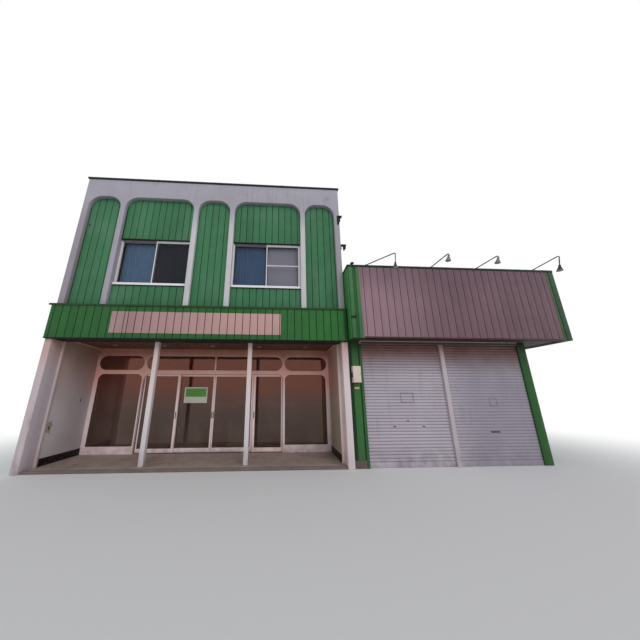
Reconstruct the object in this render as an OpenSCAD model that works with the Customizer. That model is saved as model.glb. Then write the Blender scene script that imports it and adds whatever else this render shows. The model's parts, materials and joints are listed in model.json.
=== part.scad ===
// Corner shop building: a two-storey shop with an arched front frame, and a
// single-storey annex with two roller shutters under a deep sign fascia.
// Millimetres. X runs along the front to the right, Y into the building, Z up.
// The front frame's face is Y = 0, the shop's centre line is X = 0, the ground is Z = 0.

/* [Shop block] */
// width over the side walls
block_w = 7000; // [6700:50:7300]
// depth from the front frame's face to the rear face
block_d = 8000; // [7000:100:9000]
// thickness of the side and rear walls
wall_t = 185; // [160:5:210]
// thickness of the upper front wall, behind the frame
front_wall_t = 180; // [170:5:200]
// height of the front frame's top edge
frame_top_z = 7440; // [7250:10:7600]
// height of the coping band
coping_h = 45; // [30:5:120]
// overhang of the coping past the walls
coping_over = 25; // [10:5:40]

/* [Arched front frame] */
// depth of the frame in front of the siding
frame_d = 100; // [80:5:130]
// width of the two outer stiles
stile_w = 150; // [120:5:180]
// width of the four fins
fin_w = 130; // [110:5:150]
// width of the two narrow outer bays
narrow_bay_w = 830; // [760:10:880]
// width of the middle bay
middle_bay_w = 860; // [780:10:920]
// radius of the bays' top corners
arch_r = 330; // [200:10:370]
// height of the plain band over the bays
head_band_h = 560; // [400:10:700]

/* [Upper windows] */
// width of each window in the wall
window_w = 1810; // [1500:10:1820]
// height of the window opening's sill
window_sill_z = 4270; // [4200:5:4500]
// height of the window opening
window_h = 1330; // [1050:10:1350]
// height of the mid rail above the sill in the right window's right sash
mid_rail_up = 680; // [400:10:750]

/* [Canopy over the ground floor] */
// height of the canopy's lower edge
canopy_z = 2815; // [2750:5:2850]
// height of the canopy's face
canopy_h = 820; // [760:10:860]
// distance of the canopy's face in front of the frame
canopy_out = 95; // [60:5:140]
// height of the dark cap on the canopy
flashing_h = 65; // [50:5:90]
// width of the bare sign panel
sign_w = 3990; // [3400:10:4600]
// height of the bare sign panel
sign_h = 530; // [420:10:600]

/* [Porch] */
// height of the floor above the ground
floor_z = 50; // [30:5:70]
// height of the porch ceiling
soffit_z = 2880; // [2865:5:2890]
// distance of the shopfront behind the frame's face
shopfront_y = 1265; // [1050:5:1500]
// width of the pilasters at both ends of the porch
pilaster_w = 150; // [120:5:155]
// side of the two square porch posts
post_w = 100; // [80:5:110]
// distance of each porch post from the centre line
post_x = 1120; // [1000:10:1250]
// height of the dark skirting
skirting_h = 165; // [120:5:220]

/* [Shopfront] */
// half the clear width of the doorway
doorway_half = 1950; // [1850:10:2000]
// height of the doorway's head
doorway_top_z = 2145; // [2050:5:2160]
// radius of the doorway's and window lights' top corners
light_r = 150; // [80:5:180]
// lower edge of the transom lights
transom_z = 2257; // [2240:1:2280]
// height of the transom lights, which have round ends
transom_h = 402; // [340:2:420]
// height of the panels under the fixed windows, above the floor
sill_panel_h = 190; // [120:5:240]
// width of the door stiles
door_stile_w = 65; // [50:1:80]
// width of the two stiles that meet in the doorway's middle
meeting_stile_w = 38; // [30:1:60]
// how much wider the inner right door is than the left doors
right_split = 100; // [0:5:110]

/* [Annex] */
// width of the annex, from the shop's right wall to its own right wall
annex_w = 4610; // [4400:10:4800]
// depth of the annex
annex_d = 5500; // [4500:100:6500]
// height of the sign fascia's lower edge
fascia_z = 2857; // [2820:1:2880]
// height of the sign fascia
fascia_h = 1850; // [1600:10:2000]
// distance of the sign fascia in front of the shutters
fascia_out = 310; // [260:5:420]
// overhang of the annex roof past its right wall
side_eave = 900; // [600:10:1000]
// width of the panel between the shop and the shutters
left_panel_w = 300; // [260:5:340]
// width of the post between the shutters
shutter_post_w = 100; // [80:5:120]
// width of the corner post right of the shutters
corner_post_w = 210; // [180:5:240]
// pitch of the shutter slats
slat_pitch = 70; // [66:1:84]

/* [Sign lamps] */
// slope of the lamp arms
lamp_slope = 12; // [0:1:15]
// radius of the lamp heads' mouths
lamp_r = 58; // [45:1:66]
// height of the lamp heads
lamp_head_h = 145; // [120:5:170]

/* [Hidden] */
$fn = 64;

// colours of the real surfaces
white_paint = [0.80, 0.77, 0.80];
porch_white = [0.74, 0.70, 0.70];
green_siding = [0.25, 0.44, 0.29];
dark_green = [0.10, 0.17, 0.12];
mauve_siding = [0.50, 0.41, 0.44];
pink_panel = [0.66, 0.52, 0.52];
shopfront_paint = [0.76, 0.66, 0.66];
window_white = [0.82, 0.80, 0.82];
shutter_grey = [0.67, 0.64, 0.70];
concrete = [0.55, 0.52, 0.50];
tile_brown = [0.16, 0.11, 0.11];
ceiling_brown = [0.40, 0.31, 0.28];
roof_grey = [0.35, 0.37, 0.37];
box_beige = [0.72, 0.68, 0.60];
lamp_dark = [0.12, 0.13, 0.13];
glass_tint = [0.20, 0.24, 0.26, 0.4];

// a hair's width added to cutting shapes so that they pass right through
cut = 1;

// shop block
half_w = block_w / 2;
room_half = half_w - wall_t;
front_wall_y = frame_d;
room_front_y = frame_d + front_wall_t;
room_rear_y = block_d - wall_t;
frame_bottom_z = canopy_z + canopy_h + flashing_h;
fin_outer_x = half_w - stile_w - narrow_bay_w;
fin_inner_x = middle_bay_w / 2 + fin_w;
wide_bay_w = fin_outer_x - fin_w - fin_inner_x;
window_x = fin_inner_x + wide_bay_w / 2;
arch_top_z = frame_top_z - head_band_h;
arch_flat_half = 20;
arch_r_fit = min(arch_r, narrow_bay_w / 2 - arch_flat_half, middle_bay_w / 2 - arch_flat_half);
upper_floor_t = 180;
soffit_t = 20;
upper_floor_z = soffit_z + soffit_t;
deck_t = 100;
deck_below_top = 280;
deck_front_z = frame_top_z - deck_below_top;
deck_fall = 120;

// porch
slab_front_y = -20;
pilaster_front_y = -50;
pilaster_back_y = 225;
pilaster_x = half_w - pilaster_w;
post_set_back = 15;
post_front_y = room_front_y - post_set_back - post_w;
skirting_t = 12;
downlight_r = 55;
downlight_h = 14;
downlight_taper = 6;
downlight_mouth_r = 37;
downlight_y = 830;
downlight_gap = 1290;

// upper windows
window_set_back = 20;
window_frame_d = 90;
window_rim = 25;
sash_t = 30;
sash_rim = 28;
sash_gap = 4;
pane_t = 5;
window_sill_out = 35;
window_top_z = window_sill_z + window_h;

// canopy
canopy_shell = 30;
flashing_out = 25;
flashing_overhang = 45;
flashing_lip = 22;
side_trim_t = 20;
side_trim_w = 60;
sign_t = 6;
sign_x = -115;
sign_up = 140;
sign_z = canopy_z + sign_up;

// shopfront
plate_t = 15;
member_d = 105;
rebate = 15;
sill_h = 10;
door_t = 35;
door_clear = 6;
track_gap = 10;
pocket = 25;
pocket_clear = 10;
meeting_gap = 6;
door_overlap = 65;
door_top_lap = 20;
door_top_z = doorway_top_z + door_top_lap;
rail_h = 4;
rail_w = 8;
door_bottom_z = floor_z + sill_h + rail_h + door_clear;
roller_r = 14;
roller_inset = 130;
roller_gap = 0.3;
door_top_rail = 80;
door_bottom_rail = 104;
door_outer_x = doorway_half + pocket;
door_w = (door_outer_x - meeting_gap / 2 + door_overlap) / 2;
inner_right_w = door_w + right_split;
front_track_y = shopfront_y + plate_t + door_clear;
rear_track_y = front_track_y + door_t + track_gap;
bay_inner_x = doorway_half + pocket + pocket_clear;
outer_left_x = -door_outer_x;
inner_left_x = -meeting_gap / 2 - door_w;
inner_right_x = meeting_gap / 2;
right_overlap = 6;
outer_right_x = inner_right_x + inner_right_w - right_overlap;
outer_right_w = door_outer_x - outer_right_x;
window_light_in = 70;
window_light_x0 = doorway_half + window_light_in;
window_light_out = 110;
window_light_x1 = room_half - window_light_out;
transom_light_in = 60;
transom_light_x0 = doorway_half + transom_light_in;
transom_light_out = 75;
transom_light_x1 = room_half - transom_light_out;
window_light_z0 = floor_z + sill_panel_h;
window_light_drop = 5;
window_light_z1 = doorway_top_z - window_light_drop;
head_light_in = 10;
head_light_half = doorway_half - head_light_in;
head_mullion_w = 45;
glass_t = 8;
door_glass_t = 6;

// annex
annex_x0 = half_w;
annex_x1 = half_w + annex_w;
shutter_face_y = 10;
annex_wall_t = 120;
annex_rear_y = annex_d;
annex_room_y = annex_rear_y - annex_wall_t;
annex_post_d = 120;
roof_z = 3100;
annex_roof_t = 120;
fascia_t = 100;
roof_top_z = roof_z + annex_roof_t;
fascia_top_z = fascia_z + fascia_h;
fascia_front_y = shutter_face_y - fascia_out;
fascia_back_y = fascia_front_y + fascia_t;
fascia_gap = 30;
fascia_x0 = annex_x0 + fascia_gap;
fascia_x1 = annex_x1 + side_eave;
left_return_y = 600;
left_strip_w = 300;
right_strip_w = 180;
annex_soffit_t = 20;
annex_soffit_up = 15;
annex_soffit_z = fascia_z + annex_soffit_up;
annex_coping_h = 63;
annex_coping_over = 15;
guide_w = 45;
guide_out = 15;
shutter_x0 = annex_x0 + left_panel_w + guide_w;
shutter_x1 = annex_x1 - corner_post_w;
shutter_mid_x = (shutter_x0 + shutter_x1) / 2;
shutter_top_z = 2785;
slat_d = 24;
slat_groove = 8;
slat_joint = 8;
shutter_y = 40;
bottom_bar_h = 114;
bottom_bar_d = 30;
bottom_bar_out = 4;
plinth_h = 160;
plinth_out = 10;
annex_floor_h = 40;
annex_floor_y = 130;
meter_w = 190;
meter_h = 385;
meter_d = 120;
meter_in = 65;
meter_x = annex_x0 + meter_in;
meter_z = 1838;

// sign lamps: distance along the fascia, turn of the arm, its reach, its neck's length
// and the lean of the head back towards the sign
lamp_places = [
  [489, 62, 709, 226, 6], [2235, 17, 465, 5, 15], [3453, 25, 466, 7, 15], [5025, 17, 498, 203, 9]
];
lamp_tube_r = 13;
lamp_bend_tube_r = 11;
lamp_neck_r = 10;
lamp_tube_lap = 6;
lamp_bend_r = 30;
lamp_base_r = 45;
lamp_base_h = 12;
lamp_stub_r = 17;
lamp_arm_up = 30;
lamp_socket_r = 24;
lamp_socket_h = 50;
lamp_shoulder_r = 30;
lamp_rim_h = 8;
lamp_lens_drop = 12;

// a rectangle with its two upper corners rounded
module round_top(w, h, r) {
  square([w, h - r]);
  translate([r, 0])
    square([w - 2 * r, h]);
  for (x = [r, w - r])
    translate([x, h - r])
      circle(r);
}

// a bar with two half-round ends
module stadium(w, h) {
  r = h / 2;
  translate([r, 0])
    square([w - h, h]);
  for (x = [r, w - r])
    translate([x, r])
      circle(r);
}

// stands a flat shape, drawn as X and Z, up at depth y and gives it thickness t
module upright(y, t) {
  translate([0, y + t, 0])
    rotate([90, 0, 0])
      linear_extrude(height = t)
        children();
}

// pulls a flat shape, drawn as Y and Z, along X from x0 to x1
module along_x(x0, x1) {
  translate([x0, 0, 0])
    rotate([90, 0, 90])
      linear_extrude(height = x1 - x0)
        children();
}

module block(x0, x1, y0, y1, z0, z1) {
  translate([x0, y0, z0])
    cube([x1 - x0, y1 - y0, z1 - z0]);
}

module both_sides() {
  children();
  mirror([1, 0, 0])
    children();
}

module shop_floor() {
  color(concrete) {
    block(-room_half, room_half, slab_front_y, room_rear_y, 0, floor_z);
    block(-pilaster_x, pilaster_x, slab_front_y, pilaster_back_y, 0, floor_z);
  }
}

// one side wall: it starts behind the pilaster below and behind the front wall above
module side_wall() {
  along_x(room_half, half_w)
    polygon([
      [pilaster_back_y, 0], [block_d, 0], [block_d, frame_top_z],
      [room_front_y, frame_top_z], [room_front_y, canopy_z], [pilaster_back_y, canopy_z]
    ]);
}

module left_side_wall() {
  color(green_siding)
    mirror([1, 0, 0])
      side_wall();
}

module right_side_wall() {
  color(green_siding)
    side_wall();
}

module window_holes(y0, y1) {
  for (s = [-1, 1])
    block(s * window_x - window_w / 2, s * window_x + window_w / 2,
          y0 - cut, y1 + cut, window_sill_z, window_top_z);
}

module rear_wall() {
  color(green_siding)
    difference() {
      block(-room_half, room_half, room_rear_y, block_d, 0, frame_top_z);
      window_holes(room_rear_y, block_d);
    }
}

module upper_front_wall() {
  color(green_siding)
    difference() {
      block(-half_w, half_w, front_wall_y, room_front_y, canopy_z, frame_top_z);
      window_holes(front_wall_y, room_front_y);
    }
}

module upper_floor() {
  color(porch_white)
    block(-room_half, room_half, room_front_y, room_rear_y,
          upper_floor_z, upper_floor_z + upper_floor_t);
}

// the deck falls to the rear behind the raised walls
module roof_deck() {
  color(roof_grey)
    along_x(-room_half, room_half)
      polygon([
        [room_front_y, deck_front_z - deck_t], [room_rear_y, deck_front_z - deck_fall - deck_t],
        [room_rear_y, deck_front_z - deck_fall], [room_front_y, deck_front_z]
      ]);
}

module roof_coping() {
  o = coping_over;
  color(dark_green)
    difference() {
      block(-half_w - o, half_w + o, -o, block_d + o, frame_top_z, frame_top_z + coping_h);
      block(-room_half + o, room_half - o, room_front_y + o, room_rear_y - o,
            frame_top_z - cut, frame_top_z + coping_h + cut);
    }
}

// one bay of the front frame, open at its foot
module bay(x, w) {
  translate([x - w / 2, frame_bottom_z - cut])
    round_top(w, arch_top_z - frame_bottom_z + cut, arch_r_fit);
}

module facade_frame() {
  color(white_paint)
    upright(0, frame_d)
      difference() {
        translate([-half_w, frame_bottom_z])
          square([block_w, frame_top_z - frame_bottom_z]);
        bay(0, middle_bay_w);
        for (s = [-1, 1]) {
          bay(s * window_x, wide_bay_w);
          bay(s * (half_w - stile_w - narrow_bay_w / 2), narrow_bay_w);
        }
      }
}

// a sash as a flat ring, x0 to x1, standing in the frame
module sash(x0, x1, y) {
  z0 = window_sill_z + window_rim;
  z1 = window_top_z - window_rim;
  upright(y, sash_t)
    difference() {
      translate([x0, z0])
        square([x1 - x0, z1 - z0]);
      translate([x0 + sash_rim, z0 + sash_rim])
        square([x1 - x0 - 2 * sash_rim, z1 - z0 - 2 * sash_rim]);
    }
}

// a two-pane sliding window, centred on x = 0 with its outer face towards -Y
module window_frame(mid_rail) {
  w = window_w;
  y0 = window_set_back;
  front_y = y0 + window_rim / 2;
  rear_y = front_y + sash_t + sash_gap;
  upright(y0, window_frame_d)
    difference() {
      translate([-w / 2, window_sill_z])
        square([w, window_h]);
      translate([-w / 2 + window_rim, window_sill_z + window_rim])
        square([w - 2 * window_rim, window_h - 2 * window_rim]);
    }
  sash(-sash_rim / 2, w / 2 - window_rim, front_y);
  sash(-w / 2 + window_rim, sash_rim / 2, rear_y);
  block(-sash_rim / 2, sash_rim / 2, front_y, rear_y + sash_t,
        window_sill_z + window_rim, window_top_z - window_rim);
  block(-w / 2, w / 2, -window_sill_out, y0 + window_rim,
        window_sill_z, window_sill_z + window_rim);
  if (mid_rail)
    block(-sash_rim / 2, w / 2 - window_rim, front_y, front_y + sash_t,
          window_sill_z + mid_rail_up, window_sill_z + mid_rail_up + sash_rim);
}

module window_panes(mid_rail) {
  w = window_w;
  front_y = window_set_back + window_rim / 2;
  rear_y = front_y + sash_t + sash_gap;
  inset = (sash_t - pane_t) / 2;
  z0 = window_sill_z + window_rim + sash_rim;
  z1 = window_top_z - window_rim - sash_rim;
  split_z = window_sill_z + mid_rail_up;
  x0 = sash_rim / 2;
  x1 = w / 2 - window_rim - sash_rim;
  if (mid_rail) {
    block(x0, x1, front_y + inset, front_y + inset + pane_t, z0, split_z);
    block(x0, x1, front_y + inset, front_y + inset + pane_t, split_z + sash_rim, z1);
  } else {
    block(x0, x1, front_y + inset, front_y + inset + pane_t, z0, z1);
  }
  block(-x1, -x0, rear_y + inset, rear_y + inset + pane_t, z0, z1);
}

// sets children as the two front windows and the two rear ones
module at_windows() {
  translate([-window_x, front_wall_y, 0])
    children(0);
  translate([window_x, front_wall_y, 0])
    children(1);
  for (s = [-1, 1])
    translate([s * window_x, block_d, 0])
      rotate([0, 0, 180])
        children(0);
}

module upper_window_frames() {
  color(window_white)
    at_windows() {
      window_frame(false);
      window_frame(true);
    }
}

module upper_window_glass() {
  color(glass_tint)
    at_windows() {
      window_panes(false);
      window_panes(true);
    }
}

// the canopy is a long box, open at its back against the wall
module canopy_fascia() {
  t = canopy_shell;
  color(green_siding)
    difference() {
      block(-half_w, half_w, -canopy_out, front_wall_y, canopy_z, canopy_z + canopy_h);
      block(-half_w + t, half_w - t, -canopy_out + t, front_wall_y + cut,
            canopy_z + t, canopy_z + canopy_h - t);
    }
}

// the sloped cap on the canopy, and the dark strip down its right end
module canopy_flashing() {
  z0 = canopy_z + canopy_h;
  front_y = -canopy_out - flashing_out;
  color(dark_green) {
    along_x(-half_w - flashing_overhang, half_w)
      polygon([
        [front_y, z0 - flashing_lip], [-canopy_out, z0 - flashing_lip], [-canopy_out, z0],
        [front_wall_y, z0], [front_wall_y, z0 + flashing_h], [0, z0 + flashing_h],
        [front_y, z0 + flashing_lip]
      ]);
    block(half_w - side_trim_w, half_w, -canopy_out - side_trim_t / 2, -canopy_out,
          canopy_z, z0 - flashing_lip);
  }
}

module sign_panel() {
  color(pink_panel)
    block(sign_x - sign_w / 2, sign_x + sign_w / 2, -canopy_out - sign_t, -canopy_out,
          sign_z, sign_z + sign_h);
}

module porch_soffit() {
  color(ceiling_brown)
    block(-room_half, room_half, room_front_y, shopfront_y, soffit_z, soffit_z + soffit_t);
}

module downlights() {
  color(window_white)
    for (i = [-2:2])
      translate([i * downlight_gap, downlight_y, soffit_z - downlight_h])
        difference() {
          cylinder(h = downlight_h, r1 = downlight_r - downlight_taper, r2 = downlight_r);
          translate([0, 0, -cut])
            cylinder(h = downlight_h / 2 + cut, r = downlight_mouth_r);
        }
}

module porch_posts() {
  color(porch_white)
    both_sides()
      block(post_x - post_w / 2, post_x + post_w / 2, post_front_y, post_front_y + post_w,
            floor_z, canopy_z);
}

module porch_pilasters() {
  color(porch_white)
    both_sides()
      block(pilaster_x, half_w, pilaster_front_y, pilaster_back_y, 0, canopy_z);
}

module porch_skirting() {
  color(tile_brown)
    both_sides()
      block(room_half - skirting_t, room_half, pilaster_back_y, shopfront_y,
            floor_z, floor_z + skirting_h);
}

// right half of the shopfront beside the doorway: a front plate with rounded
// lights, and deeper members behind it that leave a rebate for the glass
module bay_lights(grow, rounded) {
  w = window_light_x1 - window_light_x0;
  h = window_light_z1 - window_light_z0;
  tw = transom_light_x1 - transom_light_x0;
  if (rounded) {
    translate([window_light_x0, window_light_z0])
      round_top(w, h, light_r);
    translate([transom_light_x0, transom_z])
      stadium(tw, transom_h);
  } else {
    translate([window_light_x0 - grow, window_light_z0 - grow])
      square([w + 2 * grow, h + 2 * grow]);
    translate([transom_light_x0 - grow, transom_z - grow])
      square([tw + 2 * grow, transom_h + 2 * grow]);
  }
}

module bay_frame() {
  upright(shopfront_y, plate_t)
    difference() {
      translate([doorway_half, floor_z])
        square([room_half - doorway_half, upper_floor_z - floor_z]);
      bay_lights(0, true);
    }
  upright(shopfront_y + plate_t, member_d)
    difference() {
      translate([bay_inner_x, floor_z])
        square([room_half - bay_inner_x, upper_floor_z - floor_z]);
      bay_lights(rebate, false);
    }
}

module shopfront_left_bay() {
  color(shopfront_paint)
    mirror([1, 0, 0])
      bay_frame();
}

module shopfront_right_bay() {
  color(shopfront_paint)
    bay_frame();
}

// the filled corner under the head that rounds the doorway's top
module doorway_corner() {
  translate([doorway_half - light_r, doorway_top_z - light_r])
    difference() {
      square([light_r, light_r]);
      circle(light_r);
    }
}

module shopfront_head() {
  color(shopfront_paint) {
    upright(shopfront_y, plate_t) {
      difference() {
        translate([-doorway_half, doorway_top_z])
          square([2 * doorway_half, upper_floor_z - doorway_top_z]);
        difference() {
          translate([-head_light_half, transom_z])
            stadium(2 * head_light_half, transom_h);
          translate([-head_mullion_w / 2, transom_z - cut])
            square([head_mullion_w, transom_h + 2 * cut]);
        }
      }
      both_sides()
        doorway_corner();
    }
    upright(shopfront_y + plate_t, member_d)
      difference() {
        translate([-bay_inner_x, door_top_z + pocket_clear])
          square([2 * bay_inner_x, upper_floor_z - door_top_z - pocket_clear]);
        for (s = [0, 1])
          mirror([s, 0])
            translate([head_mullion_w / 2 - rebate / 2, transom_z - rebate])
              square([head_light_half - head_mullion_w / 2 + rebate * 1.5, transom_h + 2 * rebate]);
      }
  }
}

module shopfront_glass() {
  y0 = shopfront_y + plate_t;
  g = rebate;
  color(glass_tint)
    both_sides() {
      upright(y0, glass_t)
        bay_lights(g, false);
      block(head_mullion_w / 2 - g / 2, head_light_half + g, y0, y0 + glass_t,
            transom_z - g, transom_z + transom_h + g);
    }
}

module door_sill() {
  color(window_white) {
    block(-bay_inner_x, bay_inner_x, shopfront_y + plate_t, shopfront_y + plate_t + member_d,
          floor_z, floor_z + sill_h);
    for (y = [front_track_y, rear_track_y])
      translate([0, y + (door_t - rail_w) / 2, 0])
        block(-bay_inner_x, bay_inner_x, 0, rail_w, floor_z + sill_h, floor_z + sill_h + rail_h);
  }
}

// a glazed door leaf from x to x + w in the track at depth y, on two rollers
module door_leaf(x, y, w, left_stile_w, right_stile_w) {
  for (rx = [x + roller_inset, x + w - roller_inset])
    translate([rx, y + (door_t + rail_w) / 2, floor_z + sill_h + rail_h + roller_gap + roller_r])
      rotate([90, 0, 0])
        cylinder(h = rail_w, r = roller_r);
  upright(y, door_t)
    difference() {
      translate([x, door_bottom_z])
        square([w, door_top_z - door_bottom_z]);
      translate([x + left_stile_w, door_bottom_z + door_bottom_rail])
        square([w - left_stile_w - right_stile_w,
                door_top_z - door_bottom_z - door_bottom_rail - door_top_rail]);
    }
}

module door_pane(x, y, w, left_stile_w, right_stile_w) {
  y0 = y + (door_t - door_glass_t) / 2;
  block(x + left_stile_w, x + w - right_stile_w, y0, y0 + door_glass_t,
        door_bottom_z + door_bottom_rail, door_top_z - door_top_rail);
}

module outer_left_door() {
  color(shopfront_paint)
    door_leaf(outer_left_x, front_track_y, door_w, door_stile_w, door_stile_w);
}

module outer_left_glass() {
  color(glass_tint)
    door_pane(outer_left_x, front_track_y, door_w, door_stile_w, door_stile_w);
}

module inner_left_door() {
  color(shopfront_paint)
    door_leaf(inner_left_x, rear_track_y, door_w, door_stile_w, meeting_stile_w);
}

module inner_left_glass() {
  color(glass_tint)
    door_pane(inner_left_x, rear_track_y, door_w, door_stile_w, meeting_stile_w);
}

module inner_right_door() {
  color(shopfront_paint)
    door_leaf(inner_right_x, rear_track_y, inner_right_w, meeting_stile_w, door_stile_w);
}

module inner_right_glass() {
  color(glass_tint)
    door_pane(inner_right_x, rear_track_y, inner_right_w, meeting_stile_w, door_stile_w);
}

module outer_right_door() {
  color(shopfront_paint)
    door_leaf(outer_right_x, front_track_y, outer_right_w, door_stile_w, door_stile_w);
}

module outer_right_glass() {
  color(glass_tint)
    door_pane(outer_right_x, front_track_y, outer_right_w, door_stile_w, door_stile_w);
}

// the annex floor with the low concrete kerb under the left panel
module annex_floor() {
  color(concrete) {
    block(annex_x0, annex_x1 - annex_wall_t, annex_floor_y, annex_room_y, 0, annex_floor_h);
    block(annex_x0, annex_x0 + left_panel_w, shutter_face_y - plinth_out, annex_floor_y, 0, plinth_h);
  }
}

// the panel beside the shop with its shutter guide, and the corner post
module annex_front_posts() {
  y0 = shutter_face_y;
  panel_x1 = annex_x0 + left_panel_w;
  color(green_siding) {
    block(annex_x0, panel_x1, y0, y0 + annex_post_d, plinth_h, roof_z);
    block(panel_x1, shutter_x0, y0 - guide_out, y0 + annex_post_d, 0, shutter_top_z);
    block(shutter_x1, annex_x1, y0, y0 + annex_post_d, 0, roof_z);
  }
}

module annex_side_wall() {
  color(green_siding)
    block(annex_x1 - annex_wall_t, annex_x1, shutter_face_y + annex_post_d, annex_rear_y, 0, roof_z);
}

module annex_rear_wall() {
  color(green_siding)
    block(annex_x0, annex_x1 - annex_wall_t, annex_room_y, annex_rear_y, 0, roof_z);
}

module annex_roof() {
  x1 = fascia_x1 - fascia_t;
  color(roof_grey) {
    block(annex_x0, x1, shutter_face_y, annex_rear_y, roof_z, roof_top_z);
    block(fascia_x0 + fascia_t, x1, fascia_back_y, shutter_face_y, roof_z, roof_top_z);
  }
}

// the ceiling boards under the front and side eaves
module annex_soffit() {
  z = annex_soffit_z;
  x1 = fascia_x1 - fascia_t;
  color(roof_grey) {
    block(fascia_x0 + fascia_t, x1, fascia_back_y, shutter_face_y, z, z + annex_soffit_t);
    block(annex_x1, x1, shutter_face_y, annex_rear_y, z, z + annex_soffit_t);
  }
}

module annex_fascia() {
  color(mauve_siding) {
    block(fascia_x0 + left_strip_w, fascia_x1 - right_strip_w, fascia_front_y, fascia_back_y,
          fascia_z, fascia_top_z);
    block(fascia_x1 - fascia_t, fascia_x1, fascia_front_y + right_strip_w,
          annex_rear_y - right_strip_w, fascia_z, fascia_top_z);
  }
}

module annex_fascia_ends() {
  z0 = fascia_z;
  z1 = fascia_top_z;
  color(green_siding) {
    block(fascia_x0, fascia_x0 + left_strip_w, fascia_front_y, fascia_back_y, z0, z1);
    block(fascia_x0, fascia_x0 + fascia_t, fascia_back_y, shutter_face_y, z0, z1);
    block(fascia_x0, fascia_x0 + fascia_t, shutter_face_y, left_return_y, roof_top_z, z1);
    block(fascia_x1 - right_strip_w, fascia_x1, fascia_front_y, fascia_back_y, z0, z1);
    block(fascia_x1 - fascia_t, fascia_x1, fascia_back_y, fascia_front_y + right_strip_w, z0, z1);
    block(fascia_x1 - fascia_t, fascia_x1, annex_rear_y - right_strip_w, annex_rear_y, z0, z1);
  }
}

module annex_coping() {
  o = annex_coping_over;
  z0 = fascia_top_z;
  z1 = fascia_top_z + annex_coping_h;
  color(dark_green) {
    block(fascia_x0 - o, fascia_x1 + o, fascia_front_y - o, fascia_back_y + o, z0, z1);
    block(fascia_x0 - o, fascia_x0 + fascia_t + o, fascia_back_y, left_return_y + o, z0, z1);
    block(fascia_x1 - fascia_t - o, fascia_x1 + o, fascia_back_y, annex_rear_y + o, z0, z1);
  }
}

// the curtain's section: flat slats with a narrow step back at every joint
module curtain_section() {
  n = floor((shutter_top_z - bottom_bar_h) / slat_pitch);
  z0 = bottom_bar_h;
  front = [
    for (i = [0:n - 1])
      for (p = [[slat_groove, 0], [0, slat_joint], [0, slat_pitch - slat_joint]])
        [p[0], z0 + i * slat_pitch + p[1]]
  ];
  last_z = z0 + n * slat_pitch;
  polygon(concat(front, [[slat_groove, last_z], [slat_groove, shutter_top_z],
                         [slat_d, shutter_top_z], [slat_d, z0]]));
}

module shutter(x0, x1) {
  along_x(x0, x1)
    translate([shutter_y, 0])
      curtain_section();
  y0 = shutter_y - bottom_bar_out;
  block(x0, x1, y0, y0 + bottom_bar_d, 0, bottom_bar_h);
}

module roller_shutters() {
  h = shutter_post_w / 2;
  color(shutter_grey) {
    shutter(shutter_x0, shutter_mid_x - h);
    shutter(shutter_mid_x + h, shutter_x1);
  }
}

// the post between the shutters and the lintel over them
module shutter_surround() {
  h = shutter_post_w / 2;
  y0 = shutter_face_y - guide_out;
  color(porch_white) {
    block(shutter_mid_x - h, shutter_mid_x + h, y0, y0 + annex_post_d, 0, shutter_top_z);
    block(annex_x0 + left_panel_w, shutter_x1, shutter_face_y, shutter_face_y + annex_post_d,
          shutter_top_z, roof_z);
  }
}

// a lamp head hung by its top: socket, flared reflector, rim and bowed lens
module lamp_head() {
  h = lamp_head_h;
  rotate_extrude()
    polygon([
      [0, 0], [lamp_socket_r, 0], [lamp_socket_r, -lamp_socket_h],
      [lamp_shoulder_r, -lamp_socket_h - lamp_rim_h], [lamp_r, -h + lamp_rim_h],
      [lamp_r, -h], [lamp_r * 0.6, -h - lamp_lens_drop * 0.7], [0, -h - lamp_lens_drop]
    ]);
}

// one lamp: a base and stub on the coping, a sloping arm, a tight bend, a leaning neck and a head
module lamp(reach, neck_h, lean) {
  a = lamp_slope;
  r = lamp_bend_r;
  run = reach - r - r * sin(a);
  bend_z = lamp_arm_up + run * tan(a) - r * cos(a);
  cylinder(h = lamp_base_h, r = lamp_base_r);
  cylinder(h = lamp_arm_up + lamp_tube_r, r = lamp_stub_r);
  translate([0, 0, lamp_arm_up])
    rotate([90 - a, 0, 0])
      cylinder(h = run / cos(a) + lamp_tube_lap, r = lamp_tube_r);
  translate([0, r - reach, bend_z]) {
    rotate([90, 0, -90])
      rotate([0, 0, -lean])
        rotate_extrude(angle = 90 + a + lean)
          translate([r, 0])
            circle(lamp_bend_tube_r);
    rotate([lean, 0, 0])
      translate([0, -r, -neck_h]) {
        cylinder(h = neck_h + lamp_tube_lap, r = lamp_neck_r);
        lamp_head();
      }
  }
}

module sign_lamps() {
  color(lamp_dark)
    for (p = lamp_places)
      translate([fascia_x0 + p[0], fascia_front_y + fascia_t / 2, fascia_top_z + annex_coping_h])
        rotate([0, 0, p[1]])
          lamp(p[2], p[3], p[4]);
}

module meter_box() {
  color(box_beige)
    block(meter_x, meter_x + meter_w, shutter_face_y - meter_d, shutter_face_y,
          meter_z, meter_z + meter_h);
}

shop_floor();
left_side_wall();
right_side_wall();
rear_wall();
upper_front_wall();
upper_floor();
roof_deck();
roof_coping();
facade_frame();
upper_window_frames();
upper_window_glass();
canopy_fascia();
canopy_flashing();
sign_panel();
porch_soffit();
downlights();
porch_posts();
porch_pilasters();
porch_skirting();
shopfront_left_bay();
shopfront_right_bay();
shopfront_head();
shopfront_glass();
door_sill();
outer_left_door();
outer_left_glass();
inner_left_door();
inner_left_glass();
inner_right_door();
inner_right_glass();
outer_right_door();
outer_right_glass();
annex_floor();
annex_front_posts();
annex_side_wall();
annex_rear_wall();
annex_roof();
annex_soffit();
annex_fascia();
annex_fascia_ends();
annex_coping();
roller_shutters();
shutter_surround();
sign_lamps();
meter_box();
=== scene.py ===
"""Looks of the corner shop building: finishes, fittings, studio and camera, in metres."""

from __future__ import annotations

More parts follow.
